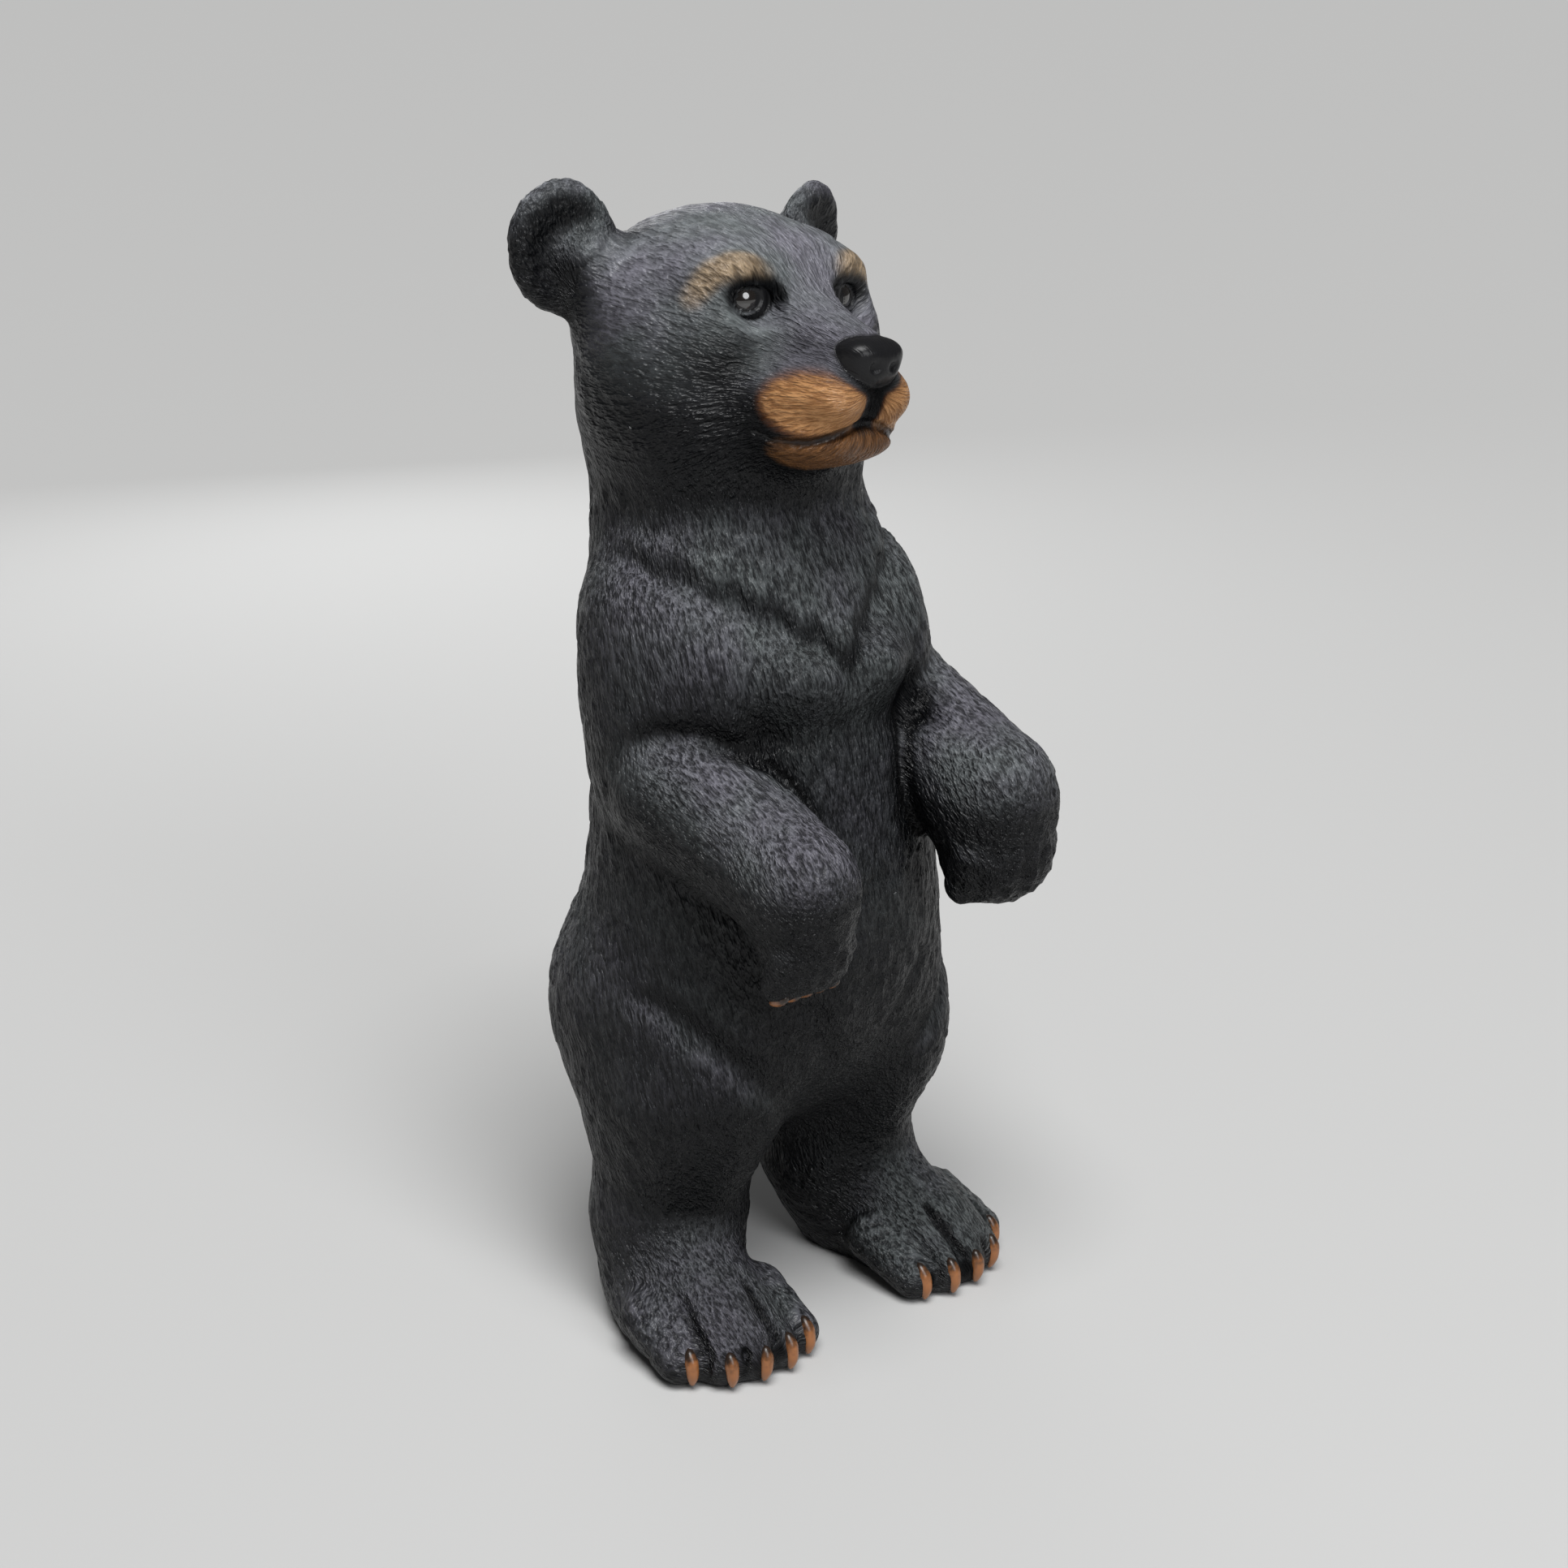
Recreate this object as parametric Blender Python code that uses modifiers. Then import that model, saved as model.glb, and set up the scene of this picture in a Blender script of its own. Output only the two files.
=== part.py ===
"""Garden statue of a bear cub standing upright, cast in resin as one piece.

The form is sculpted as a distance field: round masses for trunk, limbs and head are
blended together, then bowls, creases and grooves are cut into them. A rough form of
plain balls is given a voxel skin, its vertices are moved onto the field, and the skin
is reduced to facets. Metres, +Z up; the statue faces -Y and stands on the ground.
"""

from collections import namedtuple

import bmesh
import bpy
import numpy as np
from mathutils import Matrix, Vector

# A ball is an ellipsoid, tilted about X; a limb is a tapered rod with round ends.
# Blend is how far the mass flows into the ones before it in its list.
Ball = namedtuple("Ball", "centre radii tilt blend")
Limb = namedtuple("Limb", "start end thick thin blend")

# Whole statue, in metres: it faces -Y, its left is +X, X = 0 is its middle plane.
# Masses are listed for the left half, and the right half mirrors them.
FAR = 9.0                   # farther than any point of the statue
MIDDLE_SOFTNESS = 0.006     # rounds the valley where the two halves meet
STANCE_SHIFT = -0.007       # the feet stand a little to the right of the head
STANCE_HEIGHT = 0.35        # the shift fades out at this height
HEAD_PIVOT = (0.0, 0.040, 0.800)
HEAD_YAW = 2.0              # degrees
HEAD_ROLL = 5.0             # degrees, right ear up

# Trunk sections: height, middle Y, half width, half depth
TRUNK = (
    (0.130, 0.012, 0.030, 0.020),
    (0.180, 0.010, 0.105, 0.085),
    (0.230, 0.004, 0.140, 0.120),
    (0.280, 0.000, 0.156, 0.140),
    (0.340, -0.004, 0.155, 0.145),
    (0.400, -0.006, 0.148, 0.138),
    (0.500, 0.000, 0.140, 0.126),
    (0.590, 0.014, 0.132, 0.120),
    (0.640, 0.028, 0.120, 0.108),
    (0.690, 0.042, 0.110, 0.100),
    (0.760, 0.050, 0.098, 0.090),
    (0.810, 0.045, 0.070, 0.065),
)

LEAST_LEVEL = 0.05          # keeps the trunk's distance finite on its axis

HAUNCH = (
    Ball((0.090, -0.010, 0.232), (0.074, 0.110, 0.110), 8.0, 0.0),
    Ball((0.085, 0.045, 0.275), (0.075, 0.080, 0.085), 0.0, 0.05),
)
LEG = (
    Limb((0.091, -0.010, 0.200), (0.094, 0.000, 0.085), 0.073, 0.063, 0.0),
    Limb((0.094, 0.000, 0.085), (0.100, -0.012, 0.040), 0.063, 0.052, 0.02),
)
FOOT = (
    Ball((0.118, -0.074, 0.024), (0.060, 0.088, 0.042), 0.0, 0.0),
    Limb((0.102, -0.012, 0.070), (0.117, -0.090, 0.034), 0.050, 0.040, 0.02),
    Ball((0.106, -0.016, 0.036), (0.050, 0.048, 0.044), 0.0, 0.03),
)
# Toes from the inner to the outer one: X and Y of each tip
TOES = ((0.066, -0.156), (0.092, -0.164), (0.1195, -0.161), (0.146, -0.152), (0.170, -0.130))
TOE_RADIUS = 0.018
TOE_ROOT_RADIUS = 0.020
TOE_BLEND = 0.010
# Points along a toe: share of the tip's X, distance behind the tip, height, and a claw's radius
TOE_ROOT = (0.97, 0.070, 0.036)
TOE_END = (1.0, 0.017, 0.019)
TOE_GAP = ((0.96, 0.075, 0.074), (0.98, 0.040, 0.056), (1.0, 0.004, 0.030), (1.0, 0.0, 0.0))
TOE_GAP_WIDTH = 0.0055
TOE_GAP_DEPTH = 0.0035
TOE_CLAW = ((0.99, 0.018, 0.036, 0.0045), (1.0, 0.004, 0.027, 0.0052), (1.005, 0.001, 0.006, 0.0030))

UPPER_ARM = (
    Limb((0.090, 0.024, 0.605), (0.102, -0.006, 0.500), 0.050, 0.054, 0.0),
    Ball((0.082, -0.012, 0.555), (0.060, 0.082, 0.082), 0.0, 0.04),
)
# Arms: elbow, wrist and knuckles as (X, Y, Z, radius); the right paw hangs from a bent wrist
RIGHT_ARM = ((0.106, -0.035, 0.481, 0.059), (0.102, -0.168, 0.438, 0.048), (0.100, -0.178, 0.388, 0.036))
LEFT_ARM = ((0.108, -0.040, 0.506, 0.059), (0.107, -0.163, 0.462, 0.055), (0.107, -0.176, 0.420, 0.047))
PALM_OFFSET = (0.0, -0.008, -0.006)     # from the wrist to where the palm starts
PALM_SHARE = 0.92           # the palm's radius there, as a share of the wrist's
PALM_BLEND = 0.012
FINGER_COUNT = 5
FINGER_SPREAD = 0.72        # middle of the outer fingers, as a share of the palm's radius
FINGER_RADIUS = 0.34        # as a share of the palm's radius
FINGER_TAPER = 0.85
FINGER_ROOT = (-0.010, 0.002)           # from the knuckles: Y, Z
FINGER_TIP = (0.003, -0.028)
FINGER_BLEND = 0.008
# Groove between two fingers, in shares of the palm's radius from the knuckles: Y, Z
FINGER_GAP = ((-1.0, 0.30), (-0.95, -0.40), (-0.55, -1.00), (-0.05, -1.15))
FINGER_CUT = (0.005, 0.004)
FINGER_CLAW = ((-0.003, -0.031, 0.0050), (0.011, -0.041, 0.0022))    # from the knuckles: Y, Z, radius
CLAW_BLEND = 0.002

SKULL = (
    Ball((0.0, 0.046, 0.824), (0.118, 0.104, 0.095), 0.0, 0.0),
    Ball((0.056, 0.026, 0.770), (0.064, 0.078, 0.062), 0.0, 0.05),
    Ball((0.044, -0.010, 0.867), (0.038, 0.036, 0.028), 0.0, 0.03),
    Ball((0.058, -0.026, 0.824), (0.030, 0.030, 0.028), 0.0, 0.03),
)
MUZZLE = (
    Limb((0.0, -0.020, 0.832), (0.0, -0.104, 0.815), 0.044, 0.031, 0.0),
    Ball((0.024, -0.101, 0.791), (0.028, 0.038, 0.025), 0.0, 0.014),
    Ball((0.030, -0.064, 0.787), (0.034, 0.040, 0.030), 0.0, 0.02),
)
JAW = (
    Ball((0.014, -0.077, 0.759), (0.043, 0.051, 0.023), 0.0, 0.0),
    Limb((0.0, -0.006, 0.774), (0.0, -0.066, 0.771), 0.056, 0.034, 0.03),
)
NOSE = (
    Ball((0.0, -0.128, 0.818), (0.026, 0.017, 0.018), 0.0, 0.0),
    Ball((0.012, -0.124, 0.827), (0.016, 0.018, 0.010), 0.0, 0.008),
)

EAR_CENTRE = (0.127, 0.091, 0.882)
EAR_RADII = (0.043, 0.015, 0.052)
EAR_BOWL_RADII = (0.031, 0.016, 0.040)
EAR_BOWL_OFFSET = (0.0, -0.019, -0.002)
EAR_OUT = 17.0              # degrees it faces outward, leans back and leans out
EAR_BACK = 6.0
EAR_LEAN = 8.0
EAR_RIM_BLEND = 0.010
EAR_BLEND = 0.016
EAR_ROOT = Limb((0.085, 0.074, 0.848), (0.108, 0.087, 0.872), 0.040, 0.026, 0.020)
EYE_CENTRE = (0.0465, -0.0290, 0.855)
EYE_RADII = (0.0185, 0.0185, 0.0185)     # an eyeball with its lids
EYELID_BLEND = 0.004
EYE_SOCKET = Ball((0.049, -0.052, 0.854), (0.022, 0.017, 0.016), 0.0, 0.012)

MUZZLE_BLEND = 0.024
LIP_BLEND = 0.016
NOSE_BLEND = 0.004

LEG_BLEND = 0.030
ANKLE_BLEND = 0.020
ARM_BLEND = 0.010
NECK_BLEND = 0.045

# Collar of long fur: its lower edge on the chest as (X, height), its locks and its thickness
MANE_EDGE = ((0.0, 0.584), (0.022, 0.606), (0.060, 0.631), (0.088, 0.647), (0.106, 0.657), (0.125, 0.675))
MANE_RISE = 0.008
MANE_DIP = 0.003
MANE_LOCK_WIDTH = 0.031
MANE_LOCK_LENGTH = 0.003
MANE_EDGE_WIDTH = 0.011
MANE_FADE = (0.010, 0.110)  # heights above the edge between which the thickness fades
MANE_FRONT = (-0.05, 0.02)  # distances in front of the middle between which it grows

# Creases and ridges, as short paths on the surface of the left half
MOUTH_LINE = ((0.0, -0.124, 0.774), (0.015, -0.127, 0.770), (0.030, -0.124, 0.764), (0.043, -0.114, 0.758),
              (0.053, -0.098, 0.756), (0.058, -0.084, 0.756), (0.062, -0.070, 0.760))
PHILTRUM = ((0.0, -0.145, 0.806), (0.0, -0.142, 0.795), (0.0, -0.134, 0.778))
BROW_LINE = ((0.088, -0.024, 0.860), (0.078, -0.030, 0.878), (0.062, -0.040, 0.886), (0.046, -0.050, 0.882),
             (0.036, -0.056, 0.874))
ELBOW_CREASE = ((0.155, -0.030, 0.520), (0.142, -0.052, 0.534), (0.122, -0.075, 0.538), (0.098, -0.098, 0.520),
                (0.075, -0.112, 0.495), (0.050, -0.124, 0.470))
THIGH_CREASE = ((0.165, -0.015, 0.322), (0.145, -0.071, 0.303), (0.123, -0.100, 0.278), (0.090, -0.120, 0.242),
                (0.060, -0.122, 0.215))
BELLY_CREASE = ((0.075, -0.130, 0.335), (0.052, -0.136, 0.300), (0.036, -0.133, 0.268), (0.024, -0.118, 0.240))
GROOVE_FADE = 0.25          # share of a crease's length over which each end fades out
# Width and depth of each
MOUTH_CUT = (0.0035, 0.0050)
PHILTRUM_CUT = (0.0050, 0.0050)
BROW_RISE = (0.010, 0.003)
ELBOW_CUT = (0.010, 0.009)
THIGH_CUT = (0.012, 0.006)
BELLY_CUT = (0.010, 0.005)

# Rough form
TRUNK_BALLS = 14
TRUNK_BALL_HEIGHT = 0.060
CHAIN_BALLS = 6

# Surface: two skins, one after the other, the second finer
VOXEL_SIZES = (0.007, 0.0034)
SETTLE_PASSES = 2           # before and after each skin is relaxed
RELAX_SHARE = 0.5
RELAX_STEPS = 3
LONGEST_MOVE = 0.005
SAMPLE_STEP = 0.0004
LEAST_STEEPNESS = 0.25
TRIANGLES = 9700
SOLE_HEIGHT = 0.0008        # the soles are cut flat here
SAME_PLACE = 1e-6
SHORTEST_EDGE = 2e-5
BOX_MIDDLE = (-0.0070, -0.0365)     # middle of the box round the statue, seen from above
RESIN_COLOUR = (0.018, 0.018, 0.021, 1.0)
RESIN_ROUGHNESS = 0.42


def size(v):
    return np.sqrt((v * v).sum(axis=1))


def blend(a, b, width):
    """Smooth union of two distances; width is how far the seam is filled."""
    mix = np.clip(0.5 + 0.5 * (b - a) / width, 0.0, 1.0)
    return b + (a - b) * mix - width * mix * (1.0 - mix)


def carve(a, b, width):
    """Distance a with b cut away, its edge rounded over width."""
    return -blend(-a, b, width)


def turn(axis, degrees):
    """Rotation matrix about one axis."""
    c = np.cos(np.radians(degrees))
    s = np.sin(np.radians(degrees))
    if axis == "X":
        return np.array([[1, 0, 0], [0, c, -s], [0, s, c]])
    if axis == "Y":
        return np.array([[c, 0, s], [0, 1, 0], [-s, 0, c]])
    return np.array([[c, -s, 0], [s, c, 0], [0, 0, 1]])


HEAD_TURN = turn("Z", HEAD_YAW) @ turn("Y", HEAD_ROLL)
EAR_TURN = turn("Z", EAR_OUT) @ turn("X", EAR_BACK) @ turn("Y", EAR_LEAN)


def smoothstep(x, low, high):
    t = np.clip((x - low) / (high - low), 0.0, 1.0)
    return t * t * (3.0 - 2.0 * t)


def ellipsoid(p, centre, radii, rotation=np.eye(3)):
    """Distance to an ellipsoid, near enough close to its surface."""
    q = (p - np.array(centre, dtype=p.dtype)) @ rotation.astype(p.dtype)
    r = np.array(radii, dtype=p.dtype)
    k0 = size(q / r)
    k1 = size(q / (r * r))
    return k0 * (k0 - 1.0) / np.maximum(k1, 1e-6)


def rod(p, start, end, thick, thin):
    """Distance to a rod with round ends."""
    a = np.array(start, dtype=p.dtype)
    ab = np.array(end, dtype=p.dtype) - a
    t = np.clip((p - a) @ ab / (ab @ ab), 0.0, 1.0)
    return size(p - a - t[:, None] * ab) - (thick + t * (thin - thick))


def mass(p, item):
    """Distance to one mass."""
    if isinstance(item, Limb):
        return rod(p, item.start, item.end, item.thick, item.thin)
    return ellipsoid(p, item.centre, item.radii, turn("X", item.tilt))


def masses(p, items):
    """Distance to a list of masses, each blended into the ones before it."""
    d = mass(p, items[0])
    for item in items[1:]:
        d = blend(d, mass(p, item), item.blend)
    return d


def path_distance(p, path):
    """Distance to a path, and the share of its length at the nearest point."""
    best = np.full(len(p), FAR, dtype=p.dtype)
    share = np.zeros(len(p), dtype=p.dtype)
    steps = len(path) - 1
    for i in range(steps):
        a = np.array(path[i], dtype=p.dtype)
        ab = np.array(path[i + 1], dtype=p.dtype) - a
        t = np.clip((p - a) @ ab / (ab @ ab), 0.0, 1.0)
        d = size(p - a - t[:, None] * ab)
        near = d < best
        best = np.where(near, d, best)
        share = np.where(near, (i + t) / steps, share)
    return best, share


def groove(p, path, cut, open_start=False):
    """Depth of a rounded groove along a path, fading out towards its ends."""
    width, depth = cut
    d, share = path_distance(p, path)
    fade = np.clip((1.0 - share) / GROOVE_FADE, 0.0, 1.0)
    if not open_start:
        fade = fade * np.clip(share / GROOVE_FADE, 0.0, 1.0)
    return depth * fade * np.exp(-(d / width) ** 2)


def station_curve(z, column):
    """A trunk measure at height z, on a smooth curve through its sections."""
    h = np.array([row[0] for row in TRUNK])
    v = np.array([row[column] for row in TRUNK])
    slope = np.gradient(v, h)
    i = np.clip(np.searchsorted(h, z) - 1, 0, len(h) - 2)
    step = h[i + 1] - h[i]
    t = np.clip((z - h[i]) / step, 0.0, 1.0)
    from_below = (2 * t**3 - 3 * t**2 + 1) * v[i] + (t**3 - 2 * t**2 + t) * step * slope[i]
    from_above = (3 * t**2 - 2 * t**3) * v[i + 1] + (t**3 - t**2) * step * slope[i + 1]
    return (from_below + from_above).astype(z.dtype)


def trunk(p):
    """Distance to the stack of oval sections, with rounded ends."""
    z = p[:, 2]
    x = p[:, 0]
    y = p[:, 1] - station_curve(z, 1)
    level = np.sqrt((x / station_curve(z, 2)) ** 2 + (y / station_curve(z, 3)) ** 2)
    d = np.sqrt(x * x + y * y) * (1.0 - 1.0 / np.maximum(level, LEAST_LEVEL))
    beyond = np.maximum(np.maximum(z - TRUNK[-1][0], TRUNK[0][0] - z), 0.0)
    return np.where(beyond > 0, np.sqrt(np.maximum(d, 0.0) ** 2 + beyond ** 2), d)


def mane(p):
    """Height of the collar of long fur: a step along a V on the chest, fading upwards."""
    x = p[:, 0]
    edge = np.interp(x, [q[0] for q in MANE_EDGE], [q[1] for q in MANE_EDGE])
    above = p[:, 2] - edge + MANE_LOCK_LENGTH * np.sin(x * 2.0 * np.pi / MANE_LOCK_WIDTH)
    front = smoothstep(-p[:, 1], *MANE_FRONT)
    rise = smoothstep(above, -MANE_EDGE_WIDTH, MANE_EDGE_WIDTH) * (1.0 - smoothstep(above, *MANE_FADE))
    dip = np.exp(-(above / MANE_EDGE_WIDTH + 1.0) ** 2)
    return (MANE_RISE * rise - MANE_DIP * dip) * front


def toe_point(x, y, place):
    """A point along the toe whose tip is at X and Y."""
    return (x * place[0], y + place[1], place[2])


def foot(p):
    """The foot with its toes, and a groove between each two of them."""
    d = masses(p, FOOT)
    for x, y in TOES:
        toe = rod(p, toe_point(x, y, TOE_ROOT), toe_point(x, y, TOE_END), TOE_ROOT_RADIUS, TOE_RADIUS)
        d = blend(d, toe, TOE_BLEND)
    for (x0, y0), (x1, y1) in zip(TOES, TOES[1:]):
        between = [toe_point((x0 + x1) / 2, (y0 + y1) / 2, place) for place in TOE_GAP]
        d = d + groove(p, between, (TOE_GAP_WIDTH, TOE_GAP_DEPTH))
    return d


def toe_claws(p):
    """The claw on each toe: it starts in the fur above and comes down to the ground."""
    d = np.full(len(p), FAR, dtype=p.dtype)
    for x, y in TOES:
        for upper, lower in zip(TOE_CLAW, TOE_CLAW[1:]):
            piece = rod(p, toe_point(x, y, upper), toe_point(x, y, lower), upper[3], lower[3])
            d = np.minimum(d, piece)
    return d


def finger_places(joints):
    """X of each finger, spread evenly over the width of the palm."""
    x, y, z, radius = joints[2]
    spread = FINGER_SPREAD * radius
    return np.linspace(x - spread, x + spread, FINGER_COUNT)


def arm(p, joints):
    """Distance to the forearm and its paw, with a groove between each two fingers."""
    (elbow, wrist, knuckles) = (np.array(q[:3]) for q in joints)
    radii = [q[3] for q in joints]
    d = rod(p, elbow, wrist, radii[0], radii[1])
    d = blend(d, rod(p, wrist + PALM_OFFSET, knuckles, radii[1] * PALM_SHARE, radii[2]), PALM_BLEND)
    thickness = FINGER_RADIUS * radii[2]
    for x in finger_places(joints):
        start = (x, knuckles[1] + FINGER_ROOT[0], knuckles[2] + FINGER_ROOT[1])
        end = (x, knuckles[1] + FINGER_TIP[0], knuckles[2] + FINGER_TIP[1])
        d = blend(d, rod(p, start, end, thickness, thickness * FINGER_TAPER), FINGER_BLEND)
    places = finger_places(joints)
    for x in (places[:-1] + places[1:]) / 2.0:
        gap = [(x, knuckles[1] + dy * radii[2], knuckles[2] + dz * radii[2]) for dy, dz in FINGER_GAP]
        d = d + groove(p, gap, FINGER_CUT)
    return d


def finger_claws(p, joints):
    d = np.full(len(p), FAR, dtype=p.dtype)
    y = joints[2][1]
    z = joints[2][2]
    (y0, z0, thick), (y1, z1, thin) = FINGER_CLAW
    for x in finger_places(joints):
        d = np.minimum(d, rod(p, (x, y + y0, z + z0), (x, y + y1, z + z1), thick, thin))
    return d


def ear(p):
    disc = ellipsoid(p, EAR_CENTRE, EAR_RADII, EAR_TURN)
    bowl_centre = np.array(EAR_CENTRE) + EAR_TURN @ np.array(EAR_BOWL_OFFSET)
    d = carve(disc, ellipsoid(p, bowl_centre, EAR_BOWL_RADII, EAR_TURN), EAR_RIM_BLEND)
    return blend(d, mass(p, EAR_ROOT), EAR_ROOT.blend)


def head(p):
    mouth = blend(masses(p, MUZZLE), masses(p, JAW), LIP_BLEND)
    d = blend(masses(p, SKULL), mouth, MUZZLE_BLEND)
    d = d - groove(p, BROW_LINE, BROW_RISE)
    d = carve(d, mass(p, EYE_SOCKET), EYE_SOCKET.blend)
    d = blend(d, ellipsoid(p, EYE_CENTRE, EYE_RADII), EYELID_BLEND)
    d = d + groove(p, MOUTH_LINE, MOUTH_CUT, open_start=True)
    d = d + groove(p, PHILTRUM, PHILTRUM_CUT, open_start=True)
    d = blend(d, masses(p, NOSE), NOSE_BLEND)
    return blend(d, ear(p), EAR_BLEND)


def head_frame(points):
    """Points as the head sees them: its turn taken back, halves folded together."""
    pivot = np.array(HEAD_PIVOT, dtype=points.dtype)
    q = (points - pivot) @ HEAD_TURN.astype(points.dtype) + pivot
    q[:, 0] = np.sqrt(q[:, 0] ** 2 + MIDDLE_SOFTNESS ** 2)
    return q


def body_frame(points):
    """Points as the body sees them: the shift of the feet taken back, halves folded together."""
    p = points.copy()
    p[:, 0] -= STANCE_SHIFT * (1.0 - smoothstep(p[:, 2], 0.0, STANCE_HEIGHT))
    p[:, 0] = np.sqrt(p[:, 0] ** 2 + MIDDLE_SOFTNESS ** 2)
    return p


def distance(points):
    """Distance from each point to the surface of the statue, negative inside it."""
    p = body_frame(points)
    q = head_frame(points)
    is_left = points[:, 0] > 0
    d = blend(trunk(p), masses(p, HAUNCH), LEG_BLEND)
    d = blend(d, blend(masses(p, LEG), foot(p), ANKLE_BLEND), LEG_BLEND)
    d = blend(d, masses(p, UPPER_ARM), LEG_BLEND)
    d = d + groove(p, ELBOW_CREASE, ELBOW_CUT)
    d = blend(d, np.where(is_left, arm(p, LEFT_ARM), arm(p, RIGHT_ARM)), ARM_BLEND)
    d = blend(d, head(q), NECK_BLEND)
    d = d - mane(p) + groove(p, THIGH_CREASE, THIGH_CUT) + groove(p, BELLY_CREASE, BELLY_CUT)
    claws = np.where(is_left, finger_claws(p, LEFT_ARM), finger_claws(p, RIGHT_ARM))
    return blend(d, np.minimum(toe_claws(p), claws), CLAW_BLEND)


def add_ball(bm, centre, radii, rotation=np.eye(3)):
    """An ellipsoid of the rough form."""
    matrix = Matrix.Translation(centre) @ Matrix(rotation.tolist()).to_4x4() @ Matrix.Diagonal((*radii, 1.0))
    bmesh.ops.create_icosphere(bm, subdivisions=3, radius=1.0, matrix=matrix)


def add_chain(bm, start, end, thick, thin):
    """A row of overlapping balls along a limb of the rough form."""
    for t in np.linspace(0.0, 1.0, CHAIN_BALLS):
        radius = thick + t * (thin - thick)
        add_ball(bm, Vector(start).lerp(Vector(end), t), (radius, radius, radius))


def add_masses(bm, items, side):
    """The listed masses on one side: 1 for the left half and -1 for the right."""
    for item in items:
        if isinstance(item, Limb):
            start = (item.start[0] * side, *item.start[1:])
            end = (item.end[0] * side, *item.end[1:])
            add_chain(bm, start, end, item.thick, item.thin)
        else:
            add_ball(bm, (item.centre[0] * side, *item.centre[1:]), item.radii, turn("X", item.tilt))


def add_trunk(bm):
    """A stack of balls as wide and deep as the trunk at each height."""
    heights = np.linspace(TRUNK[1][0], TRUNK[-1][0], TRUNK_BALLS)
    columns = [station_curve(heights, column) for column in (1, 2, 3)]
    for height, middle, half_width, half_depth in zip(heights, *columns):
        add_ball(bm, (0.0, middle, height), (half_width, half_depth, TRUNK_BALL_HEIGHT))


def rough_body():
    """Plain balls where the masses of the trunk and limbs are."""
    bm = bmesh.new()
    add_trunk(bm)
    for side, joints in ((1, LEFT_ARM), (-1, RIGHT_ARM)):
        add_masses(bm, HAUNCH + LEG + FOOT + UPPER_ARM, side)
        for (x0, y0, z0, r0), (x1, y1, z1, r1) in zip(joints, joints[1:]):
            add_chain(bm, (x0 * side, y0, z0), (x1 * side, y1, z1), r0, r1)
        for x, y in TOES:
            add_ball(bm, (x * side, y + TOE_RADIUS, TOE_RADIUS), (TOE_RADIUS, TOE_RADIUS, TOE_RADIUS))
    for vertex in bm.verts:
        vertex.co.x += STANCE_SHIFT * (1.0 - smoothstep(vertex.co.z, 0.0, STANCE_HEIGHT))
    return bm


def rough_head(bm):
    """Plain balls where the masses of the head are, turned as the head is."""
    first = len(bm.verts)
    for side in (1, -1):
        add_masses(bm, SKULL + MUZZLE + JAW + NOSE + (EAR_ROOT,), side)
        x, y, z = EAR_CENTRE
        mirror = np.diag((side, 1, 1))
        add_ball(bm, (x * side, y, z), EAR_RADII, mirror @ EAR_TURN @ mirror)
    bm.verts.ensure_lookup_table()
    pivot = Vector(HEAD_PIVOT)
    rotation = Matrix(HEAD_TURN.tolist())
    for vertex in bm.verts[first:]:
        vertex.co = rotation @ (vertex.co - pivot) + pivot


def rough_form():
    """Mesh of plain balls, each overlapping its neighbours."""
    bm = rough_body()
    rough_head(bm)
    mesh = bpy.data.meshes.new("rough_form")
    bm.to_mesh(mesh)
    bm.free()
    return mesh


def apply_modifier(bear, name, kind, **settings):
    """Give the statue a modifier and make its result the statue's mesh."""
    modifier = bear.modifiers.new(name, kind)
    for key, value in settings.items():
        setattr(modifier, key, value)
    depsgraph = bpy.context.evaluated_depsgraph_get()
    mesh = bpy.data.meshes.new_from_object(bear.evaluated_get(depsgraph))
    bear.modifiers.remove(modifier)
    bear.data = mesh


def read_points(mesh):
    flat = np.empty(len(mesh.vertices) * 3, dtype=np.float32)
    mesh.vertices.foreach_get("co", flat)
    return flat.reshape(-1, 3)


def slope(points):
    """Direction in which the distance grows, from four nearby samples."""
    total = np.zeros_like(points)
    for corner in ((1, -1, -1), (-1, -1, 1), (-1, 1, -1), (1, 1, 1)):
        step = np.array(corner, dtype=points.dtype)
        total += np.outer(distance(points + SAMPLE_STEP * step), step)
    return total / (4.0 * SAMPLE_STEP)


def settle(mesh, passes):
    """Move every vertex onto the surface of the distance field."""
    points = read_points(mesh)
    for _ in range(passes):
        gradient = slope(points)
        steepness = np.maximum((gradient * gradient).sum(axis=1), LEAST_STEEPNESS)
        move = np.clip(distance(points) / steepness, -LONGEST_MOVE, LONGEST_MOVE)
        points = points - move[:, None] * gradient
    mesh.vertices.foreach_set("co", points.ravel())
    mesh.update()


def flatten_soles(mesh):
    """Cut the feet off level with the ground and close the cut."""
    bm = bmesh.new()
    bm.from_mesh(mesh)
    everything = bm.verts[:] + bm.edges[:] + bm.faces[:]
    cut = bmesh.ops.bisect_plane(bm, geom=everything, dist=SAME_PLACE, plane_co=(0, 0, SOLE_HEIGHT),
                                 plane_no=(0, 0, 1), clear_inner=True)
    edges = [item for item in cut["geom_cut"] if isinstance(item, bmesh.types.BMEdge)]
    bmesh.ops.holes_fill(bm, edges=edges, sides=0)
    bmesh.ops.triangulate(bm, faces=bm.faces[:])
    bmesh.ops.dissolve_degenerate(bm, dist=SHORTEST_EDGE, edges=bm.edges[:])
    bmesh.ops.triangulate(bm, faces=bm.faces[:])
    bm.to_mesh(mesh)
    bm.free()


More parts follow.
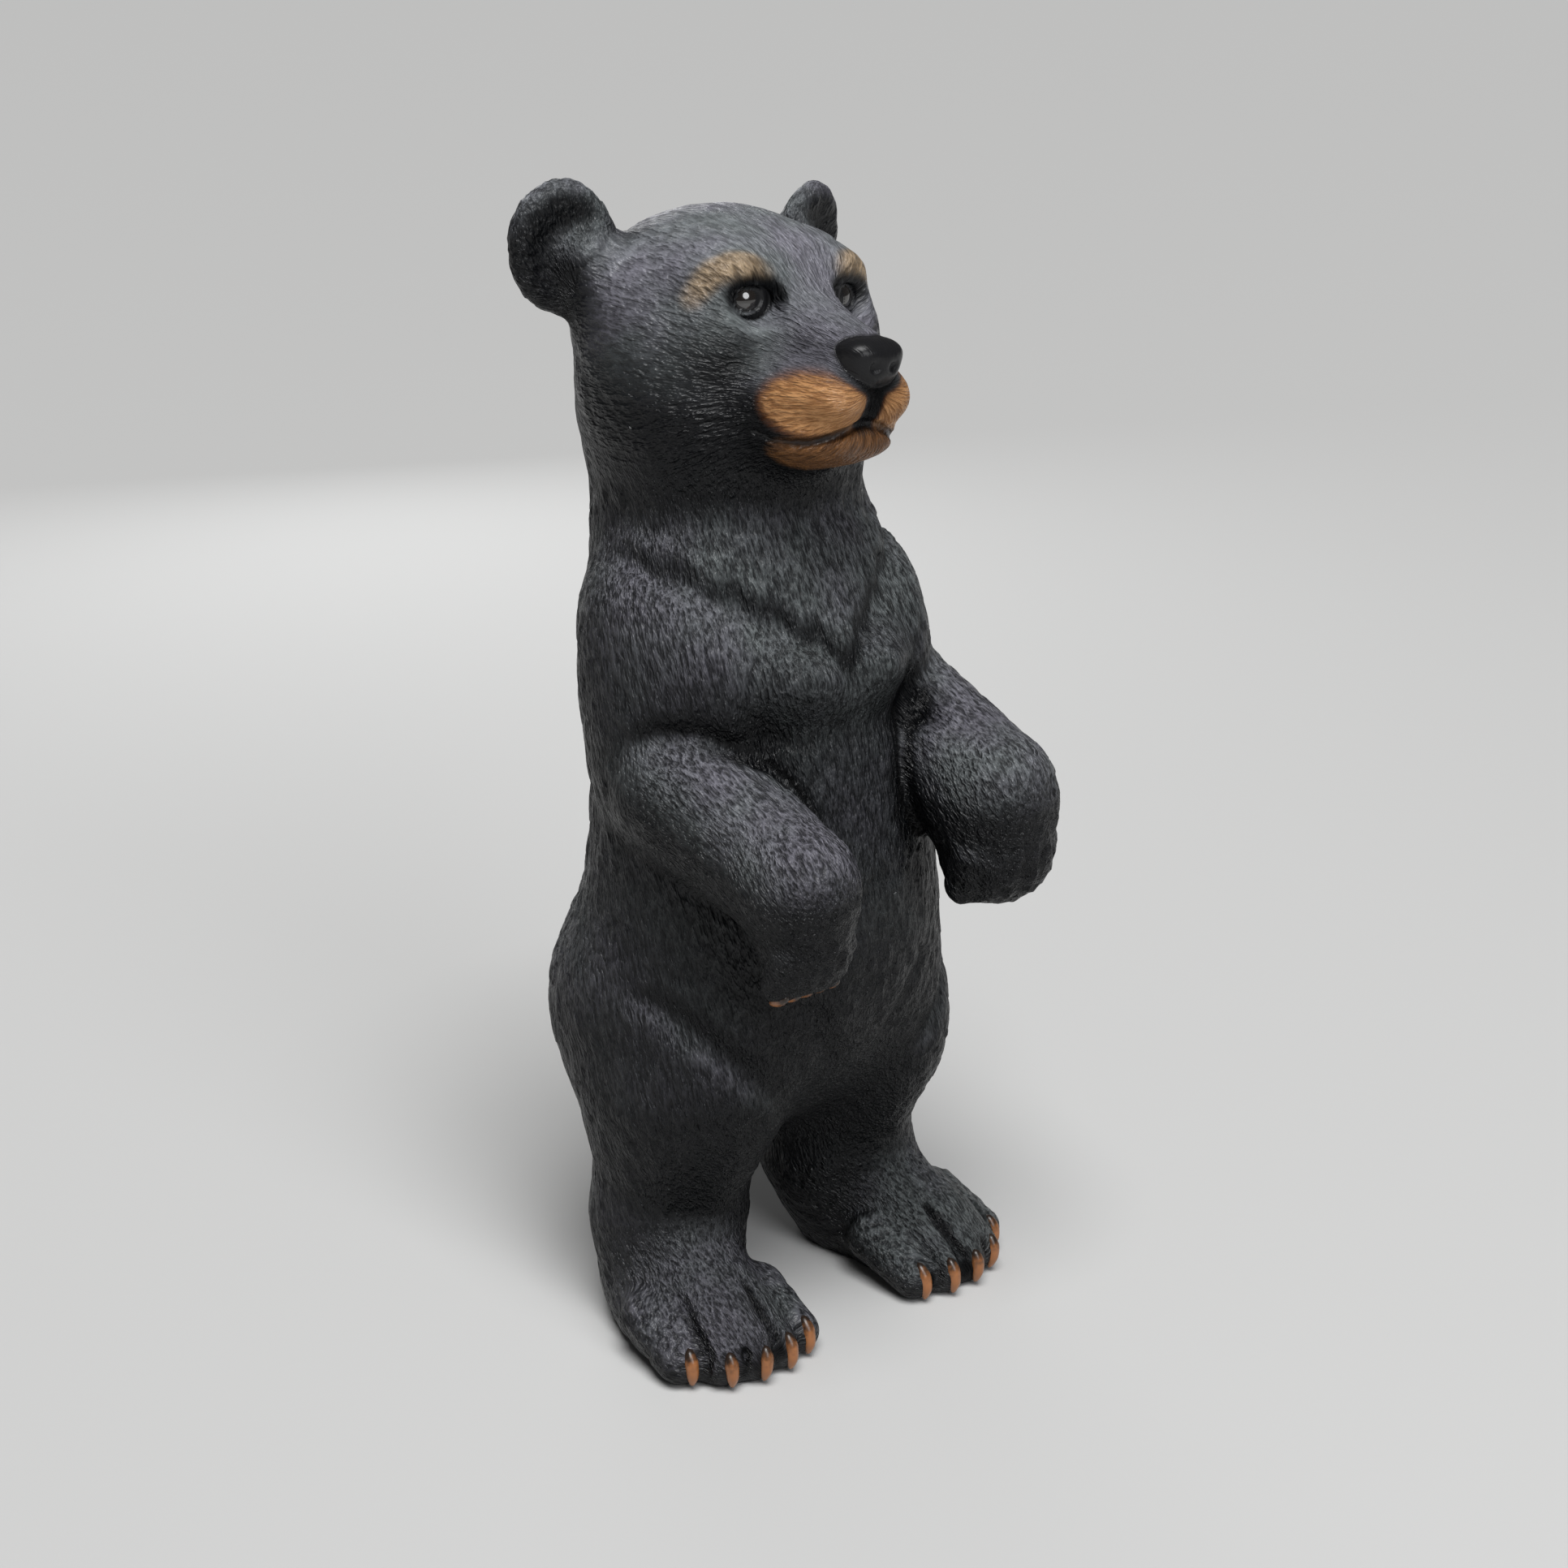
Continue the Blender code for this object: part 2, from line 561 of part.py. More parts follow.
def place_on_origin(mesh):
    """Put the middle of the statue's box over the origin and its soles on the ground."""
    points = read_points(mesh)
    points -= np.array((*BOX_MIDDLE, SOLE_HEIGHT), dtype=points.dtype)
    mesh.vertices.foreach_set("co", points.ravel())
    mesh.update()


def resin_material():
    material = bpy.data.materials.new("black_resin")
    material.use_nodes = True
    shader = material.node_tree.nodes["Principled BSDF"]
    shader.inputs["Base Color"].default_value = RESIN_COLOUR
    shader.inputs["Roughness"].default_value = RESIN_ROUGHNESS
    shader.inputs["Metallic"].default_value = 0.0
    return material


def main():
    for item in list(bpy.data.objects):
        bpy.data.objects.remove(item, do_unlink=True)
    collection = bpy.data.collections.new("bear_statue")
    bpy.context.scene.collection.children.link(collection)
    bear = bpy.data.objects.new("bear", rough_form())
    collection.objects.link(bear)
    for voxel in VOXEL_SIZES:
        apply_modifier(bear, "skin", "REMESH", mode="VOXEL", voxel_size=voxel)
        settle(bear.data, SETTLE_PASSES)
        apply_modifier(bear, "relaxed_skin", "SMOOTH", factor=RELAX_SHARE, iterations=RELAX_STEPS)
        settle(bear.data, SETTLE_PASSES)
    apply_modifier(bear, "facets", "DECIMATE", decimate_type="COLLAPSE", use_collapse_triangulate=True,
                   ratio=TRIANGLES / (2.0 * len(bear.data.polygons)))
    flatten_soles(bear.data)
    place_on_origin(bear.data)
    bear.data.materials.clear()
    bear.data.materials.append(resin_material())
    bear.data.shade_smooth()


main()
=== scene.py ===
# Looks of the bear cub garden statue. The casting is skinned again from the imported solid, its
# vertices are moved onto the same distance field with finer carving, locks of fur are raised
# on it, and paint masks are stored at its vertices. Eyes and claws are separate pieces.
# Metres, +Z up; the statue faces -Y and stands on the ground.

from collections import namedtuple

import bmesh
import bpy
import numpy as np
from mathutils import Matrix, Vector, noise


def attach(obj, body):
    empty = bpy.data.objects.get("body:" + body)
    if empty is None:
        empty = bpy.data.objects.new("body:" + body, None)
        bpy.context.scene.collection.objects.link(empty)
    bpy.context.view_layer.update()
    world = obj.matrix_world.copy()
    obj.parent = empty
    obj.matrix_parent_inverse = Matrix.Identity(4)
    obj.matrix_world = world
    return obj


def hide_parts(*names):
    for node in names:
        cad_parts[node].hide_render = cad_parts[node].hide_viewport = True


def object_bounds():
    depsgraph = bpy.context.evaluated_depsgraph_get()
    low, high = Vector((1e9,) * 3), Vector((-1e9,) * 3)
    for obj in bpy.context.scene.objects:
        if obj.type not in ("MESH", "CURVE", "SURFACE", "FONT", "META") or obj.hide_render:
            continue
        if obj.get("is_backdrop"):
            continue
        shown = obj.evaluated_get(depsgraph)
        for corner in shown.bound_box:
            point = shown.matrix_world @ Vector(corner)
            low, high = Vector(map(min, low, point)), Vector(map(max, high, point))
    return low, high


# A ball is an ellipsoid, tilted about X; a limb is a tapered rod with round ends.
# Blend is how far the mass flows into the ones before it in its list.
# A swell is a soft muscle or hollow of the trunk; a patch is a spot of extra grey paint, a painted sheen.
Ball = namedtuple("Ball", "centre radii tilt blend")
Limb = namedtuple("Limb", "start end thick thin blend")
Swell = namedtuple("Swell", "centre radii rise")
Patch = namedtuple("Patch", "centre reach share")

# Whole statue, in metres: it faces -Y, its left is +X, X = 0 is its middle plane.
# Masses are listed for the left half, and the right half mirrors them.
FAR = 9.0                   # farther than any point of the statue
MIDDLE_SOFTNESS = 0.006     # rounds the valley where the two halves meet
STANCE_SHIFT = -0.007       # the feet stand a little to the right of the head
STANCE_HEIGHT = 0.35        # the shift fades out at this height
HEAD_PIVOT = (0.0, 0.040, 0.800)
HEAD_YAW = 2.0              # degrees
HEAD_ROLL = 5.0             # degrees, right ear up

# Trunk sections: height, middle Y, half width, half depth
TRUNK = (
    (0.130, 0.012, 0.030, 0.020),
    (0.180, 0.010, 0.105, 0.085),
    (0.230, 0.004, 0.140, 0.120),
    (0.280, 0.000, 0.156, 0.140),
    (0.340, -0.004, 0.155, 0.145),
    (0.400, -0.006, 0.148, 0.138),
    (0.500, 0.000, 0.140, 0.126),
    (0.590, 0.014, 0.132, 0.120),
    (0.640, 0.028, 0.120, 0.108),
    (0.690, 0.042, 0.110, 0.100),
    (0.760, 0.050, 0.098, 0.090),
    (0.810, 0.045, 0.070, 0.065),
)

LEAST_LEVEL = 0.05          # keeps the trunk's distance finite on its axis
LEAST_LENGTH = 1e-6         # and an ellipsoid's at its centre

HAUNCH = (
    Ball((0.090, -0.010, 0.232), (0.074, 0.110, 0.110), 8.0, 0.0),
    Ball((0.085, 0.045, 0.275), (0.075, 0.080, 0.085), 0.0, 0.05),
)
LEG = (
    Limb((0.091, -0.010, 0.200), (0.094, 0.000, 0.085), 0.073, 0.063, 0.0),
    Limb((0.094, 0.000, 0.085), (0.100, -0.012, 0.040), 0.063, 0.052, 0.02),
)
FOOT = (
    Ball((0.118, -0.074, 0.024), (0.060, 0.088, 0.042), 0.0, 0.0),
    Limb((0.102, -0.012, 0.070), (0.117, -0.090, 0.034), 0.050, 0.040, 0.02),
    Ball((0.106, -0.016, 0.036), (0.050, 0.048, 0.044), 0.0, 0.03),
)
# Toes from the inner to the outer one: X and Y of each tip
TOES = ((0.066, -0.156), (0.092, -0.164), (0.1195, -0.161), (0.146, -0.152), (0.170, -0.130))
TOE_RADIUS = 0.018
TOE_ROOT_RADIUS = 0.020
TOE_BLEND = 0.010
# Points along a toe: share of the tip's X, distance behind the tip, height
TOE_ROOT = (0.97, 0.070, 0.036)
TOE_END = (1.0, 0.017, 0.019)
TOE_GAP = ((0.96, 0.075, 0.074), (0.98, 0.040, 0.056), (1.0, 0.004, 0.030), (1.0, 0.0, 0.0))
TOE_GAP_WIDTH = 0.0055
TOE_GAP_DEPTH = 0.0055
TOE_CLAW = ((0.99, 0.008, 0.036), (1.0, 0.002, 0.023), (1.0, 0.000, 0.0035))

UPPER_ARM = (
    Limb((0.090, 0.024, 0.605), (0.102, -0.006, 0.500), 0.050, 0.054, 0.0),
    Ball((0.082, -0.012, 0.555), (0.060, 0.082, 0.082), 0.0, 0.04),
)
# Arms: elbow, wrist and knuckles as (X, Y, Z, radius); the right paw hangs from a bent wrist
RIGHT_ARM = ((0.106, -0.035, 0.481, 0.059), (0.102, -0.168, 0.438, 0.048), (0.100, -0.178, 0.388, 0.036))
LEFT_ARM = ((0.108, -0.040, 0.506, 0.059), (0.107, -0.163, 0.462, 0.055), (0.107, -0.176, 0.420, 0.047))
PALM_OFFSET = (0.0, -0.008, -0.006)     # from the wrist to where the palm starts
PALM_SHARE = 0.92           # the palm's radius there, as a share of the wrist's
PALM_BLEND = 0.012
FINGER_COUNT = 5
FINGER_SPREAD = 0.72        # middle of the outer fingers, as a share of the palm's radius
FINGER_RADIUS = 0.34        # as a share of the palm's radius
FINGER_TAPER = 0.85
FINGER_ROOT = (-0.010, 0.002)           # from the knuckles: Y, Z
FINGER_TIP = (0.003, -0.028)
FINGER_BLEND = 0.008
# Groove between two fingers, in shares of the palm's radius from the knuckles: Y, Z
FINGER_GAP = ((-1.0, 0.30), (-0.95, -0.40), (-0.55, -1.00), (-0.05, -1.15))
FINGER_CUT = (0.0045, 0.0065)

SKULL = (
    Ball((0.0, 0.046, 0.824), (0.118, 0.104, 0.095), 0.0, 0.0),
    Ball((0.056, 0.026, 0.770), (0.064, 0.078, 0.062), 0.0, 0.05),
    Ball((0.044, -0.010, 0.867), (0.038, 0.036, 0.028), 0.0, 0.03),
    Ball((0.058, -0.026, 0.824), (0.030, 0.030, 0.028), 0.0, 0.03),
)
MUZZLE = (
    Limb((0.0, -0.020, 0.832), (0.0, -0.104, 0.815), 0.044, 0.031, 0.0),
    Ball((0.024, -0.101, 0.791), (0.028, 0.038, 0.025), 0.0, 0.014),
    Ball((0.030, -0.064, 0.787), (0.034, 0.040, 0.030), 0.0, 0.02),
)
JAW = (
    Ball((0.014, -0.077, 0.759), (0.043, 0.051, 0.023), 0.0, 0.0),
    Limb((0.0, -0.006, 0.774), (0.0, -0.066, 0.771), 0.056, 0.034, 0.03),
)
NOSE = (
    Ball((0.0, -0.128, 0.818), (0.026, 0.017, 0.018), 0.0, 0.0),
    Ball((0.012, -0.124, 0.827), (0.016, 0.018, 0.010), 0.0, 0.008),
)
NOSTRIL = Ball((0.0115, -0.145, 0.817), (0.0040, 0.0060, 0.0045), 0.0, 0.003)

EAR_CENTRE = (0.127, 0.091, 0.882)
EAR_RADII = (0.043, 0.015, 0.052)
EAR_BOWL_RADII = (0.031, 0.016, 0.040)
EAR_BOWL_OFFSET = (0.0, -0.019, -0.002)
EAR_OUT = 17.0              # degrees it faces outward, leans back and leans out
EAR_BACK = 6.0
EAR_LEAN = 8.0
EAR_RIM_BLEND = 0.010
EAR_BLEND = 0.016
EAR_ROOT = Limb((0.085, 0.074, 0.848), (0.108, 0.087, 0.872), 0.040, 0.026, 0.020)
EYE_CENTRE = (0.0465, -0.0290, 0.855)
EYE_RADIUS = 0.0165
EYELID_RADIUS = 0.0196
EYE_OPENING = (0.0132, 0.0104)      # half width and half height between the lids
EYE_OPENING_BLEND = 0.003
EYE_OUT = 28.0              # degrees it looks outward
EYE_DOWN = -8.0             # and down; less than zero is up
EYELID_BLEND = 0.004
EYE_SOCKET = Ball((0.049, -0.052, 0.854), (0.022, 0.017, 0.016), 0.0, 0.012)

MUZZLE_BLEND = 0.024
LIP_BLEND = 0.016
NOSE_BLEND = 0.004

LEG_BLEND = 0.030
ANKLE_BLEND = 0.020
ARM_BLEND = 0.010
NECK_BLEND = 0.045

# Collar of long fur: its lower edge on the chest as (X, height), its locks and its thickness
MANE_EDGE = ((0.0, 0.584), (0.022, 0.606), (0.060, 0.631), (0.088, 0.647), (0.106, 0.657), (0.125, 0.675))
MANE_RISE = 0.0065
MANE_DIP = 0.0025
MANE_LOCK_WIDTH = 0.027
MANE_LOCK_LENGTH = 0.0035
MANE_EDGE_WIDTH = 0.015
MANE_FADE = (0.010, 0.110)  # heights above the edge between which the thickness fades
MANE_FRONT = (-0.05, 0.02)  # distances in front of the middle between which it grows

# Creases and ridges, as short paths on the surface of the left half
MOUTH_LINE = ((0.0, -0.124, 0.774), (0.015, -0.127, 0.770), (0.030, -0.124, 0.764),
              (0.043, -0.114, 0.758), (0.053, -0.098, 0.756), (0.058, -0.084, 0.756),
              (0.062, -0.070, 0.760))
PHILTRUM = ((0.0, -0.145, 0.806), (0.0, -0.142, 0.795), (0.0, -0.134, 0.778))
BROW_LINE = ((0.089, -0.023, 0.860), (0.079, -0.030, 0.877), (0.064, -0.039, 0.887),
             (0.051, -0.047, 0.889), (0.041, -0.053, 0.886))
ELBOW_CREASE = ((0.155, -0.030, 0.520), (0.142, -0.052, 0.534), (0.122, -0.075, 0.538),
                (0.098, -0.098, 0.520), (0.075, -0.112, 0.495), (0.050, -0.124, 0.470))
THIGH_CREASE = ((0.165, -0.015, 0.322), (0.145, -0.071, 0.303), (0.123, -0.100, 0.278),
                (0.090, -0.120, 0.242), (0.060, -0.122, 0.215))
BELLY_CREASE = ((0.075, -0.130, 0.335), (0.052, -0.136, 0.300), (0.036, -0.133, 0.268),
                (0.024, -0.118, 0.240))
GROOVE_FADE = 0.25          # share of a crease's length over which each end fades out
# Width and depth of each
MOUTH_CUT = (0.0035, 0.0050)
PHILTRUM_CUT = (0.0050, 0.0050)
BROW_RISE = (0.010, 0.003)
ELBOW_CUT = (0.010, 0.009)
THIGH_CUT = (0.012, 0.006)
BELLY_CUT = (0.010, 0.005)

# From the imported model's origin to the origin in which the form below is written
ORIGIN_SHIFT = (-0.0070, -0.0365, 0.0008)

# Mesh of the casting
SKIN_VOXEL = 0.0042
RELAX_SHARE = 0.5
RELAX_STEPS = 2
LONGEST_MOVE = 0.005        # of a vertex in one pass onto the surface
SAMPLE_STEP = 0.0004        # from a point to the samples that tell which way the surface faces
LEAST_STEEPNESS = 0.25      # keeps a move short where the distance hardly changes
FACE_FRONT = (-0.030, 0.745)    # the mesh is finer in front of this Y and above this height,
TOES_FRONT = (-0.140, 0.055)    # and in front of this Y and below this height

# Fur: locks are raised in the mesh, strands in the material.
# A stretch is the width of a strand as a share of its length; pairs are measures between
# which one fur or its calm gives way to another.
FUR_STRETCH = 0.30          # on head and ears
LIMB_STRETCH = 0.45
TRUNK_STRETCH = 0.26
TRUNK_TILT = -20.0          # degrees: strands of the trunk run down and a little forward
HEAD_AXIS = (0.0, -0.150, 0.800)    # the fur of the face sweeps back from here
HEAD_ROUND = 0.080          # radius on which its pattern is wound
HEAD_FUR_HEIGHTS = (0.69, 0.77)
HEAD_FUR_BACK = (0.05, 0.12)
LIMB_ROUND = 0.055
ARM_FUR_EDGE = (0.002, 0.014)   # away from the arm
ARM_FUR_FRONT = (0.02, 0.07)    # in front of the middle
PAW_RUN = (0.085, 0.125)    # along the arm
PAW_REACH = 0.006           # the paw's fur lies this near to the arm
PAW_BACK = -0.100           # and in front of this Y
PAW_TILT = -45.0            # degrees, from upright strands to those that run down over the wrist
PAW_STRETCH = 0.40
BEND_SOFTNESS = 0.006       # blends the patterns over the bends of a path
BEND_STEPS = 7
BEND_SHARE = 0.55           # share of each side that the bend takes
FOOT_PATH = ((0.100, 0.000, 0.150), (0.104, -0.020, 0.050), (0.125, -0.280, -0.030))
FOOT_FUR_TOP = (0.085, 0.135)
FOOT_LIMIT = 0.2            # below this height the limbs are legs
EAR_FAN = (-0.016, 0.0, -0.050)     # from the ear's centre to where its fur fans out from
EAR_ROUND = 0.05
EAR_FUR_EDGE = (0.001, 0.010)
EAR_LIMIT = 0.7             # ears are above this height
LOCK_SIZE = 0.011
LOCK_HEIGHT = 0.0026
LOCK_SLANT = 0.6            # how steeply a lock rises towards its tip
HEAD_CALM = 0.5             # how much lower the locks are on the head,
MUZZLE_CALM = 0.8           # on muzzle and chin,
TOES_CALM = 0.85            # and on the toes
TOES_CALM_FRONT = (0.100, 0.135)
TOES_CALM_TOP = (0.050, 0.075)

# Soft muscles (raised) and hollows (sunk) of the trunk, on both halves
SWELLS = (
    Swell((0.122, -0.030, 0.628), (0.034, 0.060, 0.046), 0.010),
    Swell((0.040, -0.110, 0.570), (0.034, 0.050, 0.024), 0.017),
    Swell((0.086, -0.090, 0.590), (0.016, 0.050, 0.040), -0.005),
    Swell((0.074, -0.100, 0.540), (0.020, 0.050, 0.026), -0.009),
    Swell((0.040, -0.120, 0.530), (0.045, 0.040, 0.014), -0.005),
    Swell((0.155, 0.030, 0.330), (0.050, 0.060, 0.060), 0.004),
    Swell((0.065, 0.125, 0.590), (0.040, 0.050, 0.070), 0.006),
    Swell((0.000, 0.130, 0.480), (0.018, 0.060, 0.160), -0.005),
    Swell((0.070, 0.130, 0.290), (0.055, 0.060, 0.055), 0.005),
)

# Camera and studio
CAMERA_PLACE = (-1.272, -1.551, 1.186)
CAMERA_AIM = (-0.099, -0.153, 0.515)
CAMERA_LENS = 58.94         # millimetres, like the sensor
CAMERA_SENSOR = 36.0
SUN_STRENGTH = 3.2
SUN_WIDTH = 34.0            # degrees
SUN_TOWARDS = (0.18, 0.30, -1.0)
# Lamps: name, place, aim, width, watts and colour
LIGHTS = (
    ("front", (-0.45, -2.9, 2.2), (0.0, 0.0, 0.7), 1.9, 42.0, (0.97, 0.98, 1.0)),
    ("back", (1.2, 2.6, 1.3), (0.0, 0.0, 0.5), 1.8, 12.0, (0.98, 0.99, 1.0)),
)
WORLD_COLOUR = (1.0, 1.0, 1.0, 1.0)
WORLD_STRENGTH = 0.07
FLOOR_HALF = 40.0           # half its width
FLOOR_COLOUR = (0.52, 0.52, 0.515, 1.0)
FLOOR_ROUGHNESS = 0.9

# Where the paints lie; an edge is the two distances between which a paint fades out
LIP_PAINT = Ball((0.032, -0.105, 0.786), (0.042, 0.051, 0.028), 0.0, 0.0)
LIP_EDGE = (-0.012, 0.008)
CHIN_PAINT = Ball((0.016, -0.094, 0.752), (0.040, 0.046, 0.020), 0.0, 0.0)
CHIN_EDGE = (-0.006, 0.006)
FACE_PAINT_FRONT = (0.055, 0.075)   # in front of the middle, where these begin
PHILTRUM_MIDDLE = 0.792     # height of the dark stripe under the nose
PHILTRUM_HALF = 0.020       # half its length
PHILTRUM_EDGE = (0.002, 0.008)
NOSE_EDGE = (0.0006, 0.0022)
NOSE_RING = (0.002, 0.010)  # from the nose, where the tan begins
MOUTH_EDGE = (0.0018, 0.0052)
BROW_EDGE = (0.003, 0.018)
BROW_ENDS = 0.1             # cut off each end of the arch it fades along
BROW_PAINT_DROP = 0.003     # how much lower than the ridge the paint lies
EYELID_EDGE = (0.0172, 0.0208)      # from the middle of the eye
EYELID_SQUEEZE = (0.80, 1.0, 1.06)  # makes the dark round the eye an almond

# Shade in the hollows
HOLLOW_REACHES = (0.012, 0.035)  # distances from the surface at which room is looked for
HOLLOW_SHADES = (0.12, 0.60)    # how closed in a place is
EYE_SHADE_REACH = (0.032, 0.060)    # from the eye, where the shade begins

# Grey dry-brushing and painted sheen: upward faces and the head's top get more grey as painted sheen
DUST_AND_SHEEN_SLOPES = (-0.1, 0.85)    # upward parts of the surface normal between which it comes on
DUST_AND_SHEEN_LEAST = 0.015
DUST_AND_SHEEN_SHARE = 0.70
HEAD_SHEEN = 0.45            # more on the head's top, a painted sheen
HEAD_TOP = (0.800, 0.870)
FOOT_DUST_AND_SHEEN = 0.35            # less on the feet
FOOT_TOP = (0.060, 0.140)
# Extra grey as painted sheen, its centres measured from the imported model's origin: the first lies on the
# left side of the muzzle, and the second hardly reaches the surface
SHEEN_PATCHES = (
    Patch((0.050, -0.048, 0.835), 0.012, 1.0),
    Patch((0.034, -0.053, 0.872), 0.014, 0.6),
)
RIDGE_HEIGHTS = (0.36, 0.66)    # heights of the strands between which it comes on
EVEN_DUST_AND_SHEEN = 0.16            # share of it that also lies between the strands
HEAD_EVEN_DUST_AND_SHEEN = 0.35       # and how much larger that share is on the head

# Noise: strokes and hairs of the fur, clouds in grey and eyes, streaks of the claws
STROKE_NOISE = {"Scale": 320.0, "Detail": 1.0, "Distortion": 0.35}
HAIR_NOISE = {"Scale": 760.0, "Detail": 1.0}
HAIR_SHARE = 0.3            # of the height of the strands
GREY_NOISE = {"Scale": 9.0, "Detail": 3.0, "Roughness": 0.55}
GREY_RANGE = (0.35, 0.65)
EYE_NOISE = {"Scale": 60.0, "Detail": 2.0}
CLAW_NOISE = {"Scale": 220.0, "Detail": 3.0}

# Colours and gloss
STRAND_DEPTH = 0.0068
STREAK_HEIGHTS = (0.35, 0.65)   # heights of the strands between a dark and a light tone
PAINT_RAGGED = 1.2          # how far the strands break up its edge
RAGGED_RANGE = (0.1, 0.9)
RESIN_DARK = (0.0018, 0.0021, 0.0028, 1.0)
RESIN_HOLLOW = (0.0012, 0.0014, 0.002, 1.0)
# greys of the dry-brushing and of the painted sheen
RESIN_GREY_LILAC = (0.210, 0.205, 0.240, 1.0)
RESIN_GREY_GREEN = (0.185, 0.205, 0.208, 1.0)
RESIN_SPECULAR = 0.24
FUR_ROUGHNESS = (0.46, 0.26)    # low and high on the strands
BARE_ROUGHNESS = 0.28
BARE_CARVING = 0.06         # share of the strands' height that is left on bare paint
MUZZLE_SMOOTH = 0.5         # how bare the muzzle is
TAN_DARK = (0.260, 0.118, 0.043, 1.0)
TAN_LIGHT = (0.480, 0.250, 0.108, 1.0)
TAN_EDGE = (0.130, 0.045, 0.014, 1.0)
TAN_EDGE_MASK = (0.35, 1.0)     # cover at which its edge tone ends
CHIN_DARK = (0.085, 0.036, 0.012, 1.0)
CHIN_LIGHT = (0.225, 0.102, 0.038, 1.0)
BROW_DARK = (0.160, 0.110, 0.062, 1.0)
BROW_LIGHT = (0.400, 0.290, 0.180, 1.0)
BROW_COVER = 0.80
NOSE_BLACK = (0.010, 0.010, 0.011, 1.0)
EYE_BLACK = (0.004, 0.004, 0.004, 1.0)
EYE_BROWN = (0.012, 0.008, 0.006, 1.0)
EYE_ROUGHNESS = 0.12
EYE_SPECULAR = 1.0
EYE_COAT = 1.0
EYE_COAT_ROUGHNESS = 0.05
CLAW_DARK = (0.020, 0.012, 0.008, 1.0)
CLAW_TAN = (0.330, 0.130, 0.045, 1.0)
CLAW_UNEVEN = 0.5           # how far the streaks shift the dark root
CLAW_FADE = (0.10, 0.55)    # shares of the length over which the root turns tan
CLAW_ROUGHNESS = 0.32
CLAW_BUMP = 0.4
CLAW_BUMP_DEPTH = 0.0004

# Eyes and claws
EYE_SEGMENTS = 48
EYE_RINGS = 32
CLAW_RINGS = 16
CLAW_SIDES = 14
CLAW_STATIONS = (0.0, 0.35, 0.7, 1.0)   # shares of the length at which the radii are given
CLAW_END_POWER = 8          # the higher, the shorter the round ends
CLAW_END_LEAST = 0.02
CLAW_FITTING_STEPS = 4
TOE_CLAW_STANDS = (-0.0005, 0.0030, 0.0026)     # how far each point is out of the toe
TOE_CLAW_RADII = (0.0036, 0.0062, 0.0052, 0.0020)
FINGER_CLAW_LINE = ((-0.010, -0.030), (-0.002, -0.038), (0.010, -0.042))    # from the knuckles: Y, Z
FINGER_CLAW_RADII = (0.0035, 0.0042, 0.0034, 0.0018)


def size(v):
    return np.sqrt((v * v).sum(axis=1))


def like(values, points):
    """The values as an array with the number type of the points."""
    return np.array(values, dtype=points.dtype)


def blend(a, b, width):
    """Smooth union of two distances; width is how far the seam is filled."""
    mix = np.clip(0.5 + 0.5 * (b - a) / width, 0.0, 1.0)
    return b + (a - b) * mix - width * mix * (1.0 - mix)


def carve(a, b, width):
    """Distance a with b cut away, its edge rounded over width."""
    return -blend(-a, b, width)


def turn(axis, degrees):
    """Rotation matrix about one axis."""
    c = np.cos(np.radians(degrees))
    s = np.sin(np.radians(degrees))
    if axis == "X":
        return np.array([[1, 0, 0], [0, c, -s], [0, s, c]])
    if axis == "Y":
        return np.array([[c, 0, s], [0, 1, 0], [-s, 0, c]])
    return np.array([[c, -s, 0], [s, c, 0], [0, 0, 1]])


HEAD_TURN = turn("Z", HEAD_YAW) @ turn("Y", HEAD_ROLL)
EAR_TURN = turn("Z", EAR_OUT) @ turn("X", EAR_BACK) @ turn("Y", EAR_LEAN)
EYE_TURN = turn("Z", EYE_OUT) @ turn("X", EYE_DOWN)


def smoothstep(x, low, high):
    t = np.clip((x - low) / (high - low), 0.0, 1.0)
    return t * t * (3.0 - 2.0 * t)


def ellipsoid(p, centre, radii, rotation=np.eye(3)):
    """Distance to an ellipsoid, near enough close to its surface."""
    q = (p - like(centre, p)) @ rotation.astype(p.dtype)
    r = like(radii, p)
    k0 = size(q / r)
    k1 = size(q / (r * r))
    return k0 * (k0 - 1.0) / np.maximum(k1, LEAST_LENGTH)


def from_segment(p, start, end):
    """Share along a segment where it is nearest to each point, and the way from there."""
    a = like(start, p)
    ab = like(end, p) - a
    t = np.clip((p - a) @ ab / (ab @ ab), 0.0, 1.0)
    return t, p - a - t[:, None] * ab


def rod(p, start, end, thick, thin):
    """Distance to a rod with round ends."""
    t, away = from_segment(p, start, end)
    return size(away) - (thick + t * (thin - thick))


def mass(p, item):
    """Distance to one mass."""
    if isinstance(item, Limb):
        return rod(p, item.start, item.end, item.thick, item.thin)
    return ellipsoid(p, item.centre, item.radii, turn("X", item.tilt))


def masses(p, items):
    """Distance to a list of masses, each blended into the ones before it."""
    d = mass(p, items[0])
    for item in items[1:]:
        d = blend(d, mass(p, item), item.blend)
    return d


def path_distance(p, path):
    """Distance to a path, and the share of its length at the nearest point."""
    best = np.full(len(p), FAR, dtype=p.dtype)
    share = np.zeros(len(p), dtype=p.dtype)
    steps = len(path) - 1
    for i in range(steps):
        t, away = from_segment(p, path[i], path[i + 1])
        d = size(away)
        near = d < best
        best = np.where(near, d, best)
        share = np.where(near, (i + t) / steps, share)
    return best, share


def groove(p, path, cut, open_start=False):
    """Depth of a rounded groove along a path, fading out towards its ends."""
    width, depth = cut
    d, share = path_distance(p, path)
    fade = np.clip((1.0 - share) / GROOVE_FADE, 0.0, 1.0)
    if not open_start:
        fade = fade * np.clip(share / GROOVE_FADE, 0.0, 1.0)
    return depth * fade * np.exp(-(d / width) ** 2)


